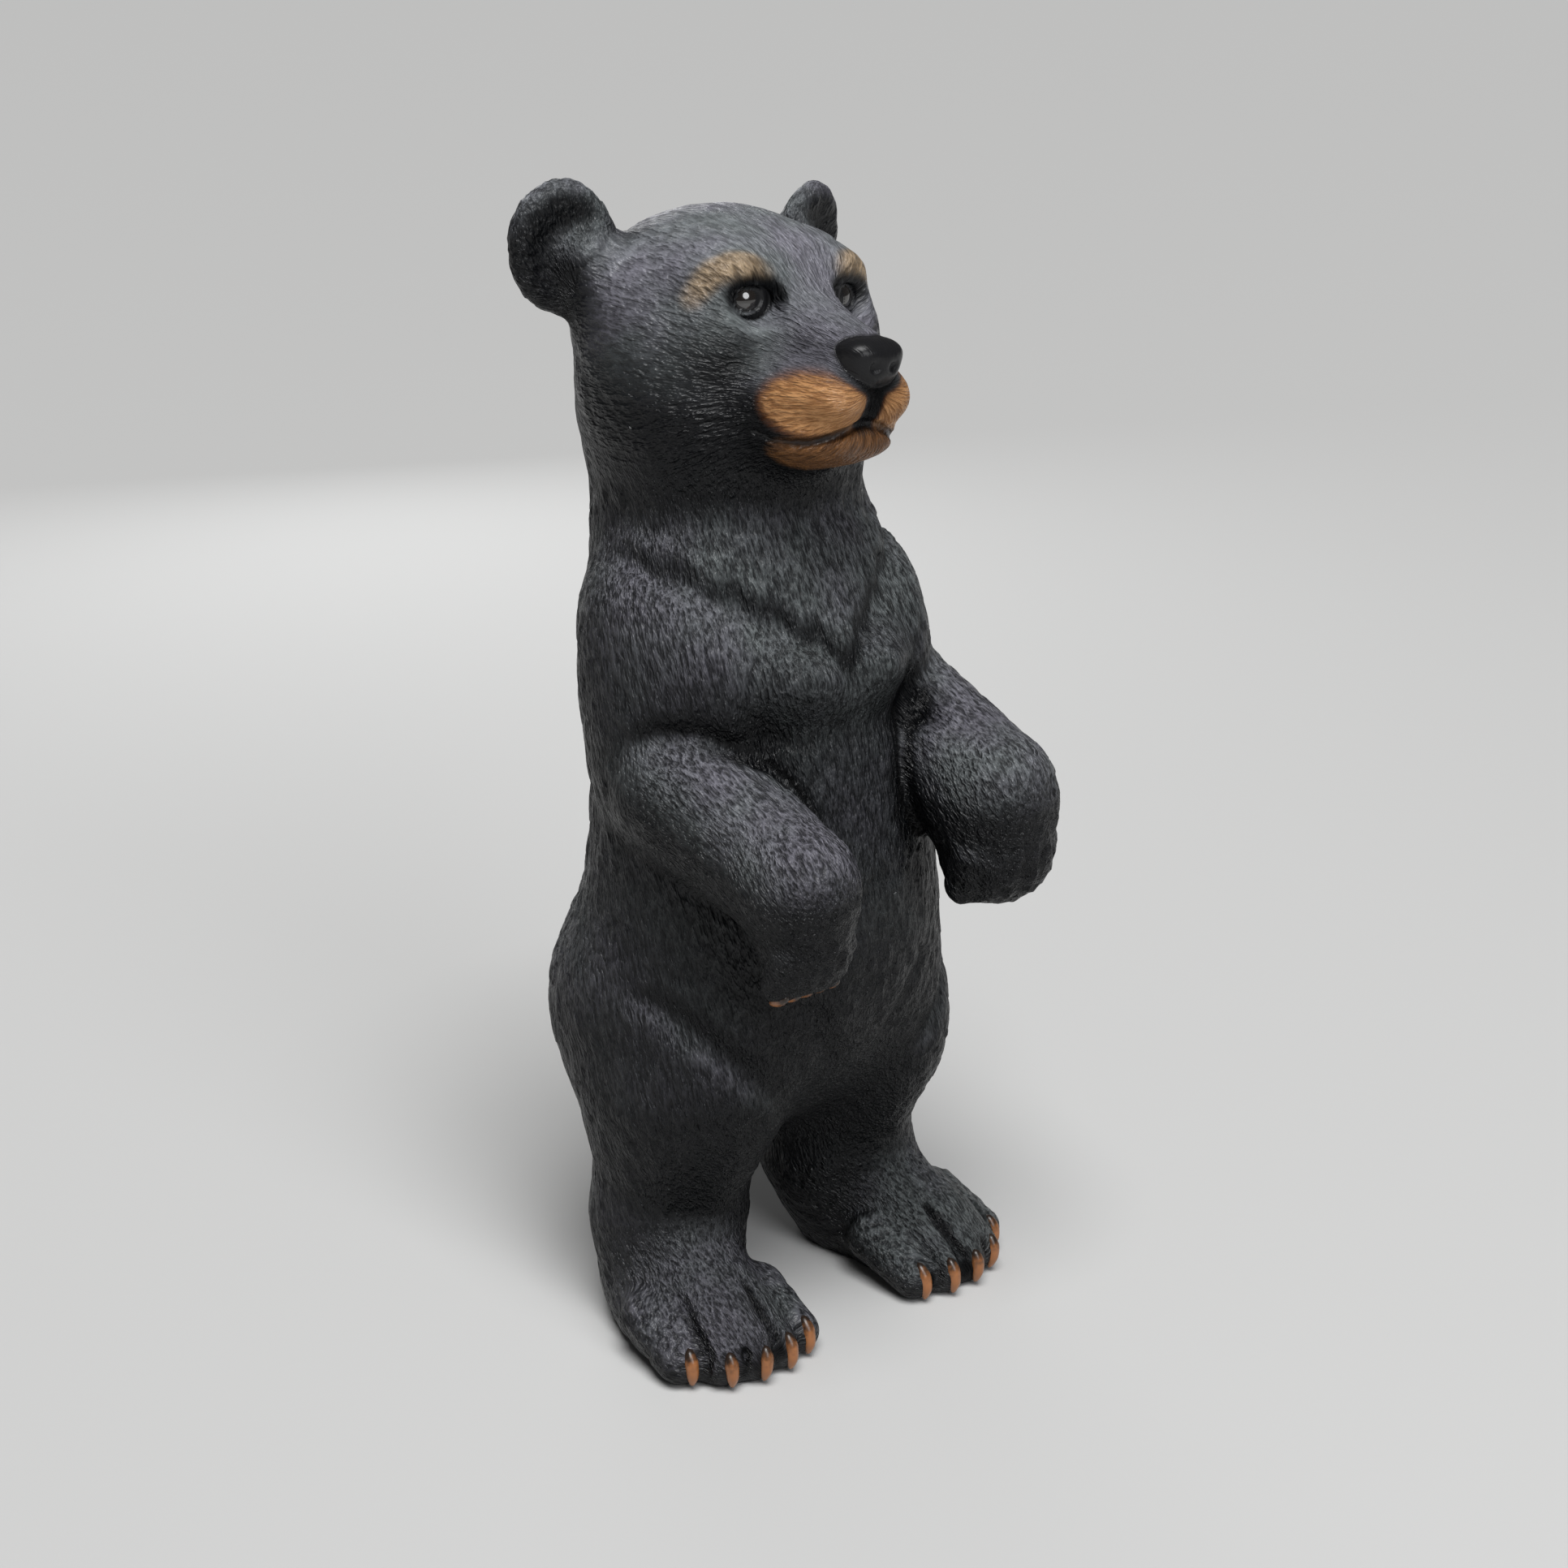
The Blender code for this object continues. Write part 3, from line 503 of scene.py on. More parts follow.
def station_curve(z, column):
    """A trunk measure at height z, on a smooth curve through its sections."""
    h = np.array([row[0] for row in TRUNK])
    v = np.array([row[column] for row in TRUNK])
    slope = np.gradient(v, h)
    i = np.clip(np.searchsorted(h, z) - 1, 0, len(h) - 2)
    step = h[i + 1] - h[i]
    t = np.clip((z - h[i]) / step, 0.0, 1.0)
    from_below = (2 * t**3 - 3 * t**2 + 1) * v[i] + (t**3 - 2 * t**2 + t) * step * slope[i]
    from_above = (3 * t**2 - 2 * t**3) * v[i + 1] + (t**3 - t**2) * step * slope[i + 1]
    return (from_below + from_above).astype(z.dtype)


def trunk(p):
    """Distance to the stack of oval sections, with rounded ends."""
    z = p[:, 2]
    x = p[:, 0]
    y = p[:, 1] - station_curve(z, 1)
    level = np.sqrt((x / station_curve(z, 2)) ** 2 + (y / station_curve(z, 3)) ** 2)
    d = np.sqrt(x * x + y * y) * (1.0 - 1.0 / np.maximum(level, LEAST_LEVEL))
    beyond = np.maximum(np.maximum(z - TRUNK[-1][0], TRUNK[0][0] - z), 0.0)
    return np.where(beyond > 0, np.sqrt(np.maximum(d, 0.0) ** 2 + beyond ** 2), d)


def mane(p):
    """Height of the collar of long fur: a step along a V on the chest, fading upwards."""
    x = p[:, 0]
    edge = np.interp(x, [q[0] for q in MANE_EDGE], [q[1] for q in MANE_EDGE])
    above = p[:, 2] - edge + MANE_LOCK_LENGTH * np.sin(x * 2.0 * np.pi / MANE_LOCK_WIDTH)
    front = smoothstep(-p[:, 1], *MANE_FRONT)
    rise = smoothstep(above, -MANE_EDGE_WIDTH, MANE_EDGE_WIDTH) * (1.0 - smoothstep(above, *MANE_FADE))
    dip = np.exp(-(above / MANE_EDGE_WIDTH + 1.0) ** 2)
    return (MANE_RISE * rise - MANE_DIP * dip) * front


def toe_point(x, y, place):
    """A point along the toe whose tip is at X and Y."""
    return (x * place[0], y + place[1], place[2])


def foot(p):
    """The foot with its toes, and a groove between each two of them."""
    d = masses(p, FOOT)
    for x, y in TOES:
        toe = rod(p, toe_point(x, y, TOE_ROOT), toe_point(x, y, TOE_END), TOE_ROOT_RADIUS, TOE_RADIUS)
        d = blend(d, toe, TOE_BLEND)
    for (x0, y0), (x1, y1) in zip(TOES, TOES[1:]):
        between = [toe_point((x0 + x1) / 2, (y0 + y1) / 2, place) for place in TOE_GAP]
        d = d + groove(p, between, (TOE_GAP_WIDTH, TOE_GAP_DEPTH))
    return d


def finger_places(joints):
    """X of each finger, spread evenly over the width of the palm."""
    x, y, z, radius = joints[2]
    spread = FINGER_SPREAD * radius
    return np.linspace(x - spread, x + spread, FINGER_COUNT)


def arm(p, joints):
    """Distance to the forearm and its paw, with a groove between each two fingers."""
    (elbow, wrist, knuckles) = (np.array(q[:3]) for q in joints)
    radii = [q[3] for q in joints]
    d = rod(p, elbow, wrist, radii[0], radii[1])
    d = blend(d, rod(p, wrist + PALM_OFFSET, knuckles, radii[1] * PALM_SHARE, radii[2]), PALM_BLEND)
    thickness = FINGER_RADIUS * radii[2]
    places = finger_places(joints)
    for x in places:
        start = (x, knuckles[1] + FINGER_ROOT[0], knuckles[2] + FINGER_ROOT[1])
        end = (x, knuckles[1] + FINGER_TIP[0], knuckles[2] + FINGER_TIP[1])
        d = blend(d, rod(p, start, end, thickness, thickness * FINGER_TAPER), FINGER_BLEND)
    for x in (places[:-1] + places[1:]) / 2.0:
        gap = [(x, knuckles[1] + dy * radii[2], knuckles[2] + dz * radii[2]) for dy, dz in FINGER_GAP]
        d = d + groove(p, gap, FINGER_CUT)
    return d


def ear(p):
    disc = ellipsoid(p, EAR_CENTRE, EAR_RADII, EAR_TURN)
    bowl_centre = np.array(EAR_CENTRE) + EAR_TURN @ np.array(EAR_BOWL_OFFSET)
    d = carve(disc, ellipsoid(p, bowl_centre, EAR_BOWL_RADII, EAR_TURN), EAR_RIM_BLEND)
    return blend(d, mass(p, EAR_ROOT), EAR_ROOT.blend)


def eyeball(p):
    return ellipsoid(p, EYE_CENTRE, (EYE_RADIUS, EYE_RADIUS, EYE_RADIUS))


def eyelids(p):
    """A rim round the eyeball with an oval opening along the way the eye looks."""
    rim = ellipsoid(p, EYE_CENTRE, (EYELID_RADIUS, EYELID_RADIUS, EYELID_RADIUS))
    q = (p - like(EYE_CENTRE, p)) @ EYE_TURN.astype(p.dtype)
    oval = np.sqrt((q[:, 0] / EYE_OPENING[0]) ** 2 + (q[:, 2] / EYE_OPENING[1]) ** 2)
    opening = np.maximum((oval - 1.0) * EYE_OPENING[1], q[:, 1])
    return carve(rim, opening, EYE_OPENING_BLEND)


def head(p):
    mouth = blend(masses(p, MUZZLE), masses(p, JAW), LIP_BLEND)
    d = blend(masses(p, SKULL), mouth, MUZZLE_BLEND)
    d = d - groove(p, BROW_LINE, BROW_RISE)
    d = carve(d, mass(p, EYE_SOCKET), EYE_SOCKET.blend)
    d = blend(d, eyelids(p), EYELID_BLEND)
    d = d + groove(p, MOUTH_LINE, MOUTH_CUT, open_start=True)
    d = d + groove(p, PHILTRUM, PHILTRUM_CUT, open_start=True)
    d = blend(d, carve(masses(p, NOSE), mass(p, NOSTRIL), NOSTRIL.blend), NOSE_BLEND)
    return blend(d, ear(p), EAR_BLEND)


def upright(points):
    """Points with the turn of the head taken back."""
    pivot = like(HEAD_PIVOT, points)
    return (points - pivot) @ HEAD_TURN.astype(points.dtype) + pivot


def fold(points):
    """Fold the right half onto the left one, softly at the middle."""
    points[:, 0] = np.sqrt(points[:, 0] ** 2 + MIDDLE_SOFTNESS ** 2)
    return points


def head_frame(points):
    """Points as the head sees them: its turn taken back, halves folded together."""
    return fold(upright(points))


def body_frame(points):
    """Points as the body sees them: the shift of the feet taken back, halves folded together."""
    p = points.copy()
    p[:, 0] -= STANCE_SHIFT * (1.0 - smoothstep(p[:, 2], 0.0, STANCE_HEIGHT))
    return fold(p)


def distance(points):
    """Distance from each point to the surface of the statue, negative inside it."""
    p = body_frame(points)
    q = head_frame(points)
    is_left = points[:, 0] > 0
    d = blend(trunk(p), masses(p, HAUNCH), LEG_BLEND)
    d = blend(d, blend(masses(p, LEG), foot(p), ANKLE_BLEND), LEG_BLEND)
    d = blend(d, masses(p, UPPER_ARM), LEG_BLEND)
    d = d + groove(p, ELBOW_CREASE, ELBOW_CUT)
    d = blend(d, np.where(is_left, arm(p, LEFT_ARM), arm(p, RIGHT_ARM)), ARM_BLEND)
    d = blend(d, head(q), NECK_BLEND)
    d = d - mane(p) + groove(p, THIGH_CREASE, THIGH_CUT) + groove(p, BELLY_CREASE, BELLY_CUT)
    return np.minimum(d, eyeball(q))


def add_object(name, data):
    item = bpy.data.objects.new(name, data)
    bpy.context.scene.collection.objects.link(item)
    return item


def apply_modifier(item, name, kind, **settings):
    """Give an object a modifier and make its result the object's mesh."""
    modifier = item.modifiers.new(name, kind)
    for key, value in settings.items():
        setattr(modifier, key, value)
    depsgraph = bpy.context.evaluated_depsgraph_get()
    mesh = bpy.data.meshes.new_from_object(item.evaluated_get(depsgraph))
    item.modifiers.remove(modifier)
    item.data = mesh


def read_points(mesh):
    flat = np.empty(len(mesh.vertices) * 3, dtype=np.float32)
    mesh.vertices.foreach_get("co", flat)
    return flat.reshape(-1, 3)


def write_points(mesh, points):
    mesh.vertices.foreach_set("co", np.ascontiguousarray(points, dtype=np.float32).ravel())
    mesh.update()


def slope(points):
    """Direction in which the distance grows, from four nearby samples."""
    total = np.zeros_like(points)
    for corner in ((1, -1, -1), (-1, -1, 1), (-1, 1, -1), (1, 1, 1)):
        step = like(corner, points)
        total += np.outer(distance(points + SAMPLE_STEP * step), step)
    return total / (4.0 * SAMPLE_STEP)


def settled(points, passes):
    """The points moved onto the surface of the distance field."""
    for _ in range(passes):
        gradient = slope(points)
        steepness = np.maximum((gradient * gradient).sum(axis=1), LEAST_STEEPNESS)
        move = np.clip(distance(points) / steepness, -LONGEST_MOVE, LONGEST_MOVE)
        points = points - move[:, None] * gradient
    return points


def refine(mesh):
    """Halve the edges on face and toes, and return how many vertices there were before."""
    points = read_points(mesh)
    y = points[:, 1]
    z = points[:, 2]
    fine = ((y < FACE_FRONT[0]) & (z > FACE_FRONT[1])) | ((y < TOES_FRONT[0]) & (z < TOES_FRONT[1]))
    count = len(mesh.vertices)
    bm = bmesh.new()
    bm.from_mesh(mesh)
    edges = [edge for edge in bm.edges if fine[edge.verts[0].index] and fine[edge.verts[1].index]]
    bmesh.ops.subdivide_edges(bm, edges=edges, cuts=1, use_grid_fill=True)
    bm.to_mesh(mesh)
    bm.free()
    return count


def swollen(points):
    """The points moved by the soft muscles and hollows of the trunk."""
    p = body_frame(points)
    height = np.zeros(len(points), dtype=points.dtype)
    for swell in SWELLS:
        out = (p - like(swell.centre, p)) / like(swell.radii, p)
        height += swell.rise * np.exp(-(out * out).sum(axis=1))
    gradient = slope(points)
    return points + (height / np.maximum(size(gradient), LEAST_STEEPNESS))[:, None] * gradient


def casting_mesh():
    """A fine skin of the statue, in the coordinates of the distance field."""
    casting = add_object("bear_casting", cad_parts["bear"].data.copy())
    shift = np.array(ORIGIN_SHIFT, dtype=np.float32)
    write_points(casting.data, read_points(casting.data) + shift)
    apply_modifier(casting, "skin", "REMESH", mode="VOXEL", voxel_size=SKIN_VOXEL)
    write_points(casting.data, settled(read_points(casting.data), 1))
    apply_modifier(casting, "relaxed_skin", "SMOOTH", factor=RELAX_SHARE, iterations=RELAX_STEPS)
    write_points(casting.data, settled(read_points(casting.data), 2))
    old_count = refine(casting.data)
    points = read_points(casting.data)
    points[old_count:] = settled(points[old_count:], 2)
    write_points(casting.data, swollen(points))
    return casting


def rounded(joints):
    """A smooth path through three joints: straight ends and a bend of short steps."""
    a, b, c = (np.array(joint[:3]) for joint in joints)
    steps = np.linspace(0.0, 1.0, BEND_STEPS)[:, None]
    start = b + BEND_SHARE * (a - b)
    end = b + BEND_SHARE * (c - b)
    bend = (1.0 - steps) ** 2 * start + 2.0 * steps * (1.0 - steps) * b + steps ** 2 * end
    return [a, *bend, c]


def run_round(p, path):
    """Cylinder coordinates round a path, smooth at its bends: the run along it and the angle round it."""
    away, run, distances = [], [], []
    done = 0.0
    for start, end in zip(path, path[1:]):
        ab = like(end, p) - like(start, p)
        length = float(np.sqrt(ab @ ab))
        t, out = from_segment(p, start, end)
        across = np.cross(ab / length, like((1.0, 0.0, 0.0), p))
        away.append(np.stack([out[:, 0], out @ across], axis=1))
        run.append(done + t * length)
        distances.append(size(out))
        done += length
    weights = np.exp((np.min(distances, axis=0) - np.array(distances)) / BEND_SOFTNESS)
    weights /= weights.sum(axis=0)
    angles = sum(weight[:, None] * part for weight, part in zip(weights, away))
    return sum(weights * np.array(run)), np.arctan2(angles[:, 1], angles[:, 0])


def wound(run, angle, radius, stretch):
    """Pattern coordinates of fur that runs along a limb or a head of this radius."""
    return np.stack([radius * np.cos(angle), radius * np.sin(angle), stretch * run], axis=1)


def straight(points, tilt, stretch):
    """Pattern coordinates of fur that runs straight down, tilted about X by some degrees."""
    matrix = turn("X", tilt) @ np.diag((1.0, 1.0, stretch))
    return points @ matrix.astype(points.dtype)


def trunk_fur(points, arms):
    """Pattern coordinates of the fur on trunk and paws, from the distance to the arms."""
    is_paw = (arms < PAW_REACH) & (points[:, 1] < PAW_BACK)
    paw = straight(points, PAW_TILT, PAW_STRETCH)
    return np.where(is_paw[:, None], paw, straight(points, TRUNK_TILT, TRUNK_STRETCH))


def head_fur(points):
    """Pattern and share of the fur on the head."""
    q = upright(points)
    away = q - like(HEAD_AXIS, points)
    share = smoothstep(points[:, 2], *HEAD_FUR_HEIGHTS) * (1.0 - smoothstep(q[:, 1], *HEAD_FUR_BACK))
    return wound(size(away), np.arctan2(away[:, 2], away[:, 0]), HEAD_ROUND, FUR_STRETCH), share


def arm_fur(points, arms, side):
    """Pattern and share of the fur on the forearms."""
    p = body_frame(points)
    left, right = (run_round(p, rounded(joints)) for joints in (LEFT_ARM, RIGHT_ARM))
    run, angle = np.where(points[:, 0] > 0, left, right)
    share = (1.0 - smoothstep(arms, *ARM_FUR_EDGE)) * smoothstep(-points[:, 1], *ARM_FUR_FRONT)
    share *= 1.0 - smoothstep(run, *PAW_RUN)
    return wound(run + side, angle, LIMB_ROUND, LIMB_STRETCH), share


def foot_fur(points, side):
    """Pattern and share of the fur on the feet."""
    run, angle = run_round(body_frame(points), rounded(FOOT_PATH))
    share = 1.0 - smoothstep(points[:, 2], *FOOT_FUR_TOP)
    return wound(run + side, angle, LIMB_ROUND, LIMB_STRETCH), share


def ear_fur(points, side):
    """Pattern and share of the fur on the ears."""
    q = head_frame(points)
    local = (q - like(EAR_CENTRE, points)) @ EAR_TURN.astype(points.dtype)
    base = local - like(EAR_FAN, points)
    across = EAR_ROUND * np.arctan2(base[:, 0], base[:, 2])
    pattern = np.stack([across, local[:, 1], FUR_STRETCH * size(base) + side], axis=1)
    return pattern, 1.0 - smoothstep(ellipsoid(q, EAR_CENTRE, EAR_RADII, EAR_TURN), *EAR_FUR_EDGE)


def fur_patterns(points):
    """Pattern coordinates of the fur on trunk, head and limbs, and the shares of the last two."""
    p = body_frame(points)
    is_left = points[:, 0] > 0
    side = np.where(is_left, 1.0, -1.0)
    arms = np.where(is_left, arm(p, LEFT_ARM), arm(p, RIGHT_ARM))
    limb, limb_share = arm_fur(points, arms, side)
    foot_pattern, foot_share = foot_fur(points, side)
    ear_pattern, ear_share = ear_fur(points, side)
    is_foot = points[:, 2] < FOOT_LIMIT
    is_ear = (ear_share > 0) & (points[:, 2] > EAR_LIMIT)
    for here, pattern, share in ((is_foot, foot_pattern, foot_share), (is_ear, ear_pattern, ear_share)):
        limb = np.where(here[:, None], pattern, limb)
        limb_share = np.where(here, share, limb_share)
    head_pattern, head_share = head_fur(points)
    return trunk_fur(points, arms), head_pattern, limb, head_share, limb_share


def lock_heights(pattern):
    """Height of overlapping locks: each rises towards its tip and drops to the next."""
    heights = np.empty(len(pattern), dtype=np.float32)
    for i, place in enumerate((pattern / LOCK_SIZE).tolist()):
        distances, centres = noise.voronoi(place)
        along = place[2] - centres[0][2]
        heights[i] = distances[1] - distances[0] - LOCK_SLANT * along
    return heights


def paint_masks(points):
    """Where each paint goes, from 0 to 1, soft at the edges."""
    q = head_frame(points)
    nose = masses(q, NOSE)
    mouth, _ = path_distance(q, MOUTH_LINE)
    split = np.maximum(q[:, 0] - MIDDLE_SOFTNESS, np.abs(q[:, 2] - PHILTRUM_MIDDLE) - PHILTRUM_HALF)
    brow, share = path_distance(q + like((0.0, 0.0, BROW_PAINT_DROP), q), BROW_LINE)
    arch = np.sqrt(np.sin(np.pi * (share * (1.0 - 2.0 * BROW_ENDS) + BROW_ENDS)))
    eye = size(((q - like(EYE_CENTRE, q)) @ EYE_TURN.astype(q.dtype)) * EYELID_SQUEEZE)
    front = smoothstep(-q[:, 1], *FACE_PAINT_FRONT)
    beside = smoothstep(split, *PHILTRUM_EDGE) * smoothstep(nose, *NOSE_RING)
    return {
        "nose": 1.0 - smoothstep(nose, *NOSE_EDGE),
        "muzzle": (1.0 - smoothstep(mass(q, LIP_PAINT), *LIP_EDGE)) * front * beside,
        "chin": (1.0 - smoothstep(mass(q, CHIN_PAINT), *CHIN_EDGE)) * front,
        "mouth": 1.0 - smoothstep(mouth, *MOUTH_EDGE),
        "brow": (1.0 - smoothstep(brow, *BROW_EDGE)) * arch,
        "eyelid": 1.0 - smoothstep(eye, *EYELID_EDGE),
    }


def dust_and_sheen_amounts(placed, normals):
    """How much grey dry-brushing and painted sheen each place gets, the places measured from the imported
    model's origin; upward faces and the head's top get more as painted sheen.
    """
    amount = smoothstep(normals[:, 2], *DUST_AND_SHEEN_SLOPES)
    amount *= 1.0 + HEAD_SHEEN * smoothstep(placed[:, 2], *HEAD_TOP)
    amount *= 1.0 - FOOT_DUST_AND_SHEEN * (1.0 - smoothstep(placed[:, 2], *FOOT_TOP))
    q = head_frame(placed)
    for patch in SHEEN_PATCHES:
        away = size(q - like(patch.centre, q)) / patch.reach
        amount += patch.share * np.exp(-away ** 2)
    return DUST_AND_SHEEN_LEAST + DUST_AND_SHEEN_SHARE * amount


def hollowed(points, normals):
    """How closed in each place is, from 0 in the open to 1; nothing counts near the eyes."""
    hollows = np.zeros(len(points), dtype=np.float32)
    for reach in HOLLOW_REACHES:
        free = distance(points + reach * normals) / reach
        hollows += (1.0 - np.clip(free, 0.0, 1.0)) / len(HOLLOW_REACHES)
    eye_away = size(head_frame(points) - like(EYE_CENTRE, points))
    return hollows * smoothstep(eye_away, *EYE_SHADE_REACH)


def calmed(points, masks, head_share):
    """Share of their height that the locks keep: none on bare paint, all of it on the trunk."""
    bare = np.maximum(masks["nose"], np.maximum(masks["mouth"], masks["eyelid"]))
    toes = smoothstep(-points[:, 1], *TOES_CALM_FRONT) * (1.0 - smoothstep(points[:, 2], *TOES_CALM_TOP))
    calm = (1.0 - bare) * (1.0 - HEAD_CALM * head_share) * (1.0 - MUZZLE_CALM * masks["muzzle"])
    calm *= (1.0 - MUZZLE_CALM * masks["chin"]) * (1.0 - TOES_CALM * toes)
    return calm


def store(mesh, name, values):
    """Store a number or a vector for each vertex, for the material to read."""
    is_vector = values.ndim == 2
    attribute = mesh.attributes.new(name, "FLOAT_VECTOR" if is_vector else "FLOAT", "POINT")
    flat = np.ascontiguousarray(values, dtype=np.float32).ravel()
    attribute.data.foreach_set("vector" if is_vector else "value", flat)


def dress_casting(casting):
    """Raise the locks of fur and store the patterns and masks for the paint."""
    points = read_points(casting.data)
    trunk_pattern, head_pattern, limb_pattern, head_share, limb_share = fur_patterns(points)
    masks = paint_masks(points)
    heights = lock_heights(trunk_pattern)
    heights += head_share * (lock_heights(head_pattern) - heights)
    heights += limb_share * (lock_heights(limb_pattern) - heights)
    gradient = slope(points)
    normals = gradient / np.maximum(size(gradient), LEAST_STEEPNESS)[:, None]
    raised = (LOCK_HEIGHT * heights * calmed(points, masks, head_share))[:, None] * normals
    placed = points + raised - like(ORIGIN_SHIFT, points)
    # No lock reaches below the ground
    placed[:, 2] = np.maximum(placed[:, 2], 0.0)
    write_points(casting.data, placed)
    layers = {
        "fur_trunk": trunk_pattern,
        "fur_head": head_pattern,
        "fur_limb": limb_pattern,
        "head_share": head_share,
        "limb_share": limb_share,
        # grey dry-brushing with painted sheen, more on upward faces
        "dust_and_sheen": dust_and_sheen_amounts(placed, normals),
        "hollow": hollowed(points, normals),
        **masks,
    }
    for name, values in layers.items():
        store(casting.data, name, values)
    casting.data.shade_smooth()


def feed(tree, sockets, values):
    """Give each socket its value, or link it to the output given for it."""
    for socket, value in zip(sockets, values):
        if isinstance(value, bpy.types.NodeSocket):
            tree.links.new(value, socket)
        else:
            socket.default_value = value


def fill(tree, node, **inputs):
    """Feed the named sockets of a node; an underscore stands for a space."""
    feed(tree, [node.inputs[key.replace("_", " ")] for key in inputs], inputs.values())


def new_node(tree, kind, settings=(), **inputs):
    """Add a node; settings are its properties and inputs the values of its sockets."""
    made = tree.nodes.new(kind)
    for key, value in dict(settings).items():
        setattr(made, key, value)
    fill(tree, made, **inputs)
    return made


def attribute(tree, name, output="Fac"):
    return new_node(tree, "ShaderNodeAttribute", {"attribute_name": name}).outputs[output]


def own_place(tree):
    """Coordinates of the piece itself."""
    return new_node(tree, "ShaderNodeTexCoord").outputs["Object"]


def noise_at(tree, place, settings):
    """Noise from 0 to 1 at a place."""
    return new_node(tree, "ShaderNodeTexNoise", Vector=place, **settings).outputs["Fac"]


def math(tree, operation, *values, clamp=False):
    made = new_node(tree, "ShaderNodeMath", {"operation": operation, "use_clamp": clamp})
    feed(tree, made.inputs, values)
    return made.outputs[0]


def swing(tree, value, width):
    """A value from 0 to 1 as a swing about zero, this wide in all."""
    return math(tree, "MULTIPLY", math(tree, "SUBTRACT", value, 0.5), width)


def mix(tree, factor, first, second, kind="RGBA"):
    """Mix two colours, or two numbers where the kind is FLOAT."""
    made = new_node(tree, "ShaderNodeMix", {"data_type": kind})
    feed(tree, [socket for socket in made.inputs if socket.enabled], (factor, first, second))
    return [socket for socket in made.outputs if socket.enabled][0]


def ranged(tree, value, low, high, to_low=0.0, to_high=1.0):
    """Map a value from one range to another, smoothly and without going beyond it."""
    made = new_node(tree, "ShaderNodeMapRange", {"interpolation_type": "SMOOTHSTEP"})
    feed(tree, made.inputs, (value, low, high, to_low, to_high))
    return made.outputs[0]


def new_material(name):
    material = bpy.data.materials.new(name)
    material.use_nodes = True
    return material, material.node_tree, material.node_tree.nodes["Principled BSDF"]


def strands(tree, name):
    """Height of the strands of one fur pattern: strokes with finer hairs on them."""
    place = attribute(tree, name, "Vector")
    stroke = math(tree, "MULTIPLY", noise_at(tree, place, STROKE_NOISE), 1.0 - HAIR_SHARE)
    hair = math(tree, "MULTIPLY", noise_at(tree, place, HAIR_NOISE), HAIR_SHARE)
    return math(tree, "ADD", stroke, hair)


def fur_height(tree):
    """Height of the strands all over the casting."""
    trunk_strands = strands(tree, "fur_trunk")
    height = mix(tree, attribute(tree, "head_share"), trunk_strands, strands(tree, "fur_head"), "FLOAT")
    return mix(tree, attribute(tree, "limb_share"), height, strands(tree, "fur_limb"), "FLOAT")


def ragged(tree, mask, height):
    """A paint mask whose soft edge breaks up along the strands."""
    lift = math(tree, "ADD", 1.0, swing(tree, height, PAINT_RAGGED))
    return ranged(tree, math(tree, "MULTIPLY", attribute(tree, mask), lift), *RAGGED_RANGE)


def brushed_resin_with_sheen_and_shade(tree, height):
    """Colour of the black resin, with dry-brushed grey and painted sheen on its strands and upward faces,
    and painted shade in its hollows.
    """
    clouds = ranged(tree, noise_at(tree, own_place(tree), GREY_NOISE), *GREY_RANGE)
    grey = mix(tree, clouds, RESIN_GREY_LILAC, RESIN_GREY_GREEN)
    even = math(tree, "MULTIPLY", attribute(tree, "head_share"), HEAD_EVEN_DUST_AND_SHEEN)
    even = math(tree, "ADD", EVEN_DUST_AND_SHEEN, even)
    cover = mix(tree, ranged(tree, height, *RIDGE_HEIGHTS), even, 1.0, "FLOAT")
    # dry-brushed grey with painted sheen on upward faces
    dust_and_sheen_cover = math(tree, "MULTIPLY", cover, attribute(tree, "dust_and_sheen"), clamp=True)
    black = mix(tree, dust_and_sheen_cover, RESIN_DARK, grey)
    return mix(tree, ranged(tree, attribute(tree, "hollow"), *HOLLOW_SHADES), black, RESIN_HOLLOW)


def painted(tree, height, colour):
    """The colour with the tan of the muzzle, the brown of the chin and the sand of the brows."""
    streak = ranged(tree, height, *STREAK_HEIGHTS)
    tan = mix(tree, streak, TAN_DARK, TAN_LIGHT)
    tan = mix(tree, ranged(tree, attribute(tree, "muzzle"), *TAN_EDGE_MASK), TAN_EDGE, tan)
    colour = mix(tree, ragged(tree, "muzzle", height), colour, tan)
    brown = mix(tree, streak, CHIN_DARK, CHIN_LIGHT)
    colour = mix(tree, ragged(tree, "chin", height), colour, brown)
    sand = mix(tree, streak, BROW_DARK, BROW_LIGHT)
    brow = math(tree, "MULTIPLY", ranged(tree, attribute(tree, "brow"), 0.0, 1.0), BROW_COVER)
    return mix(tree, brow, colour, sand)


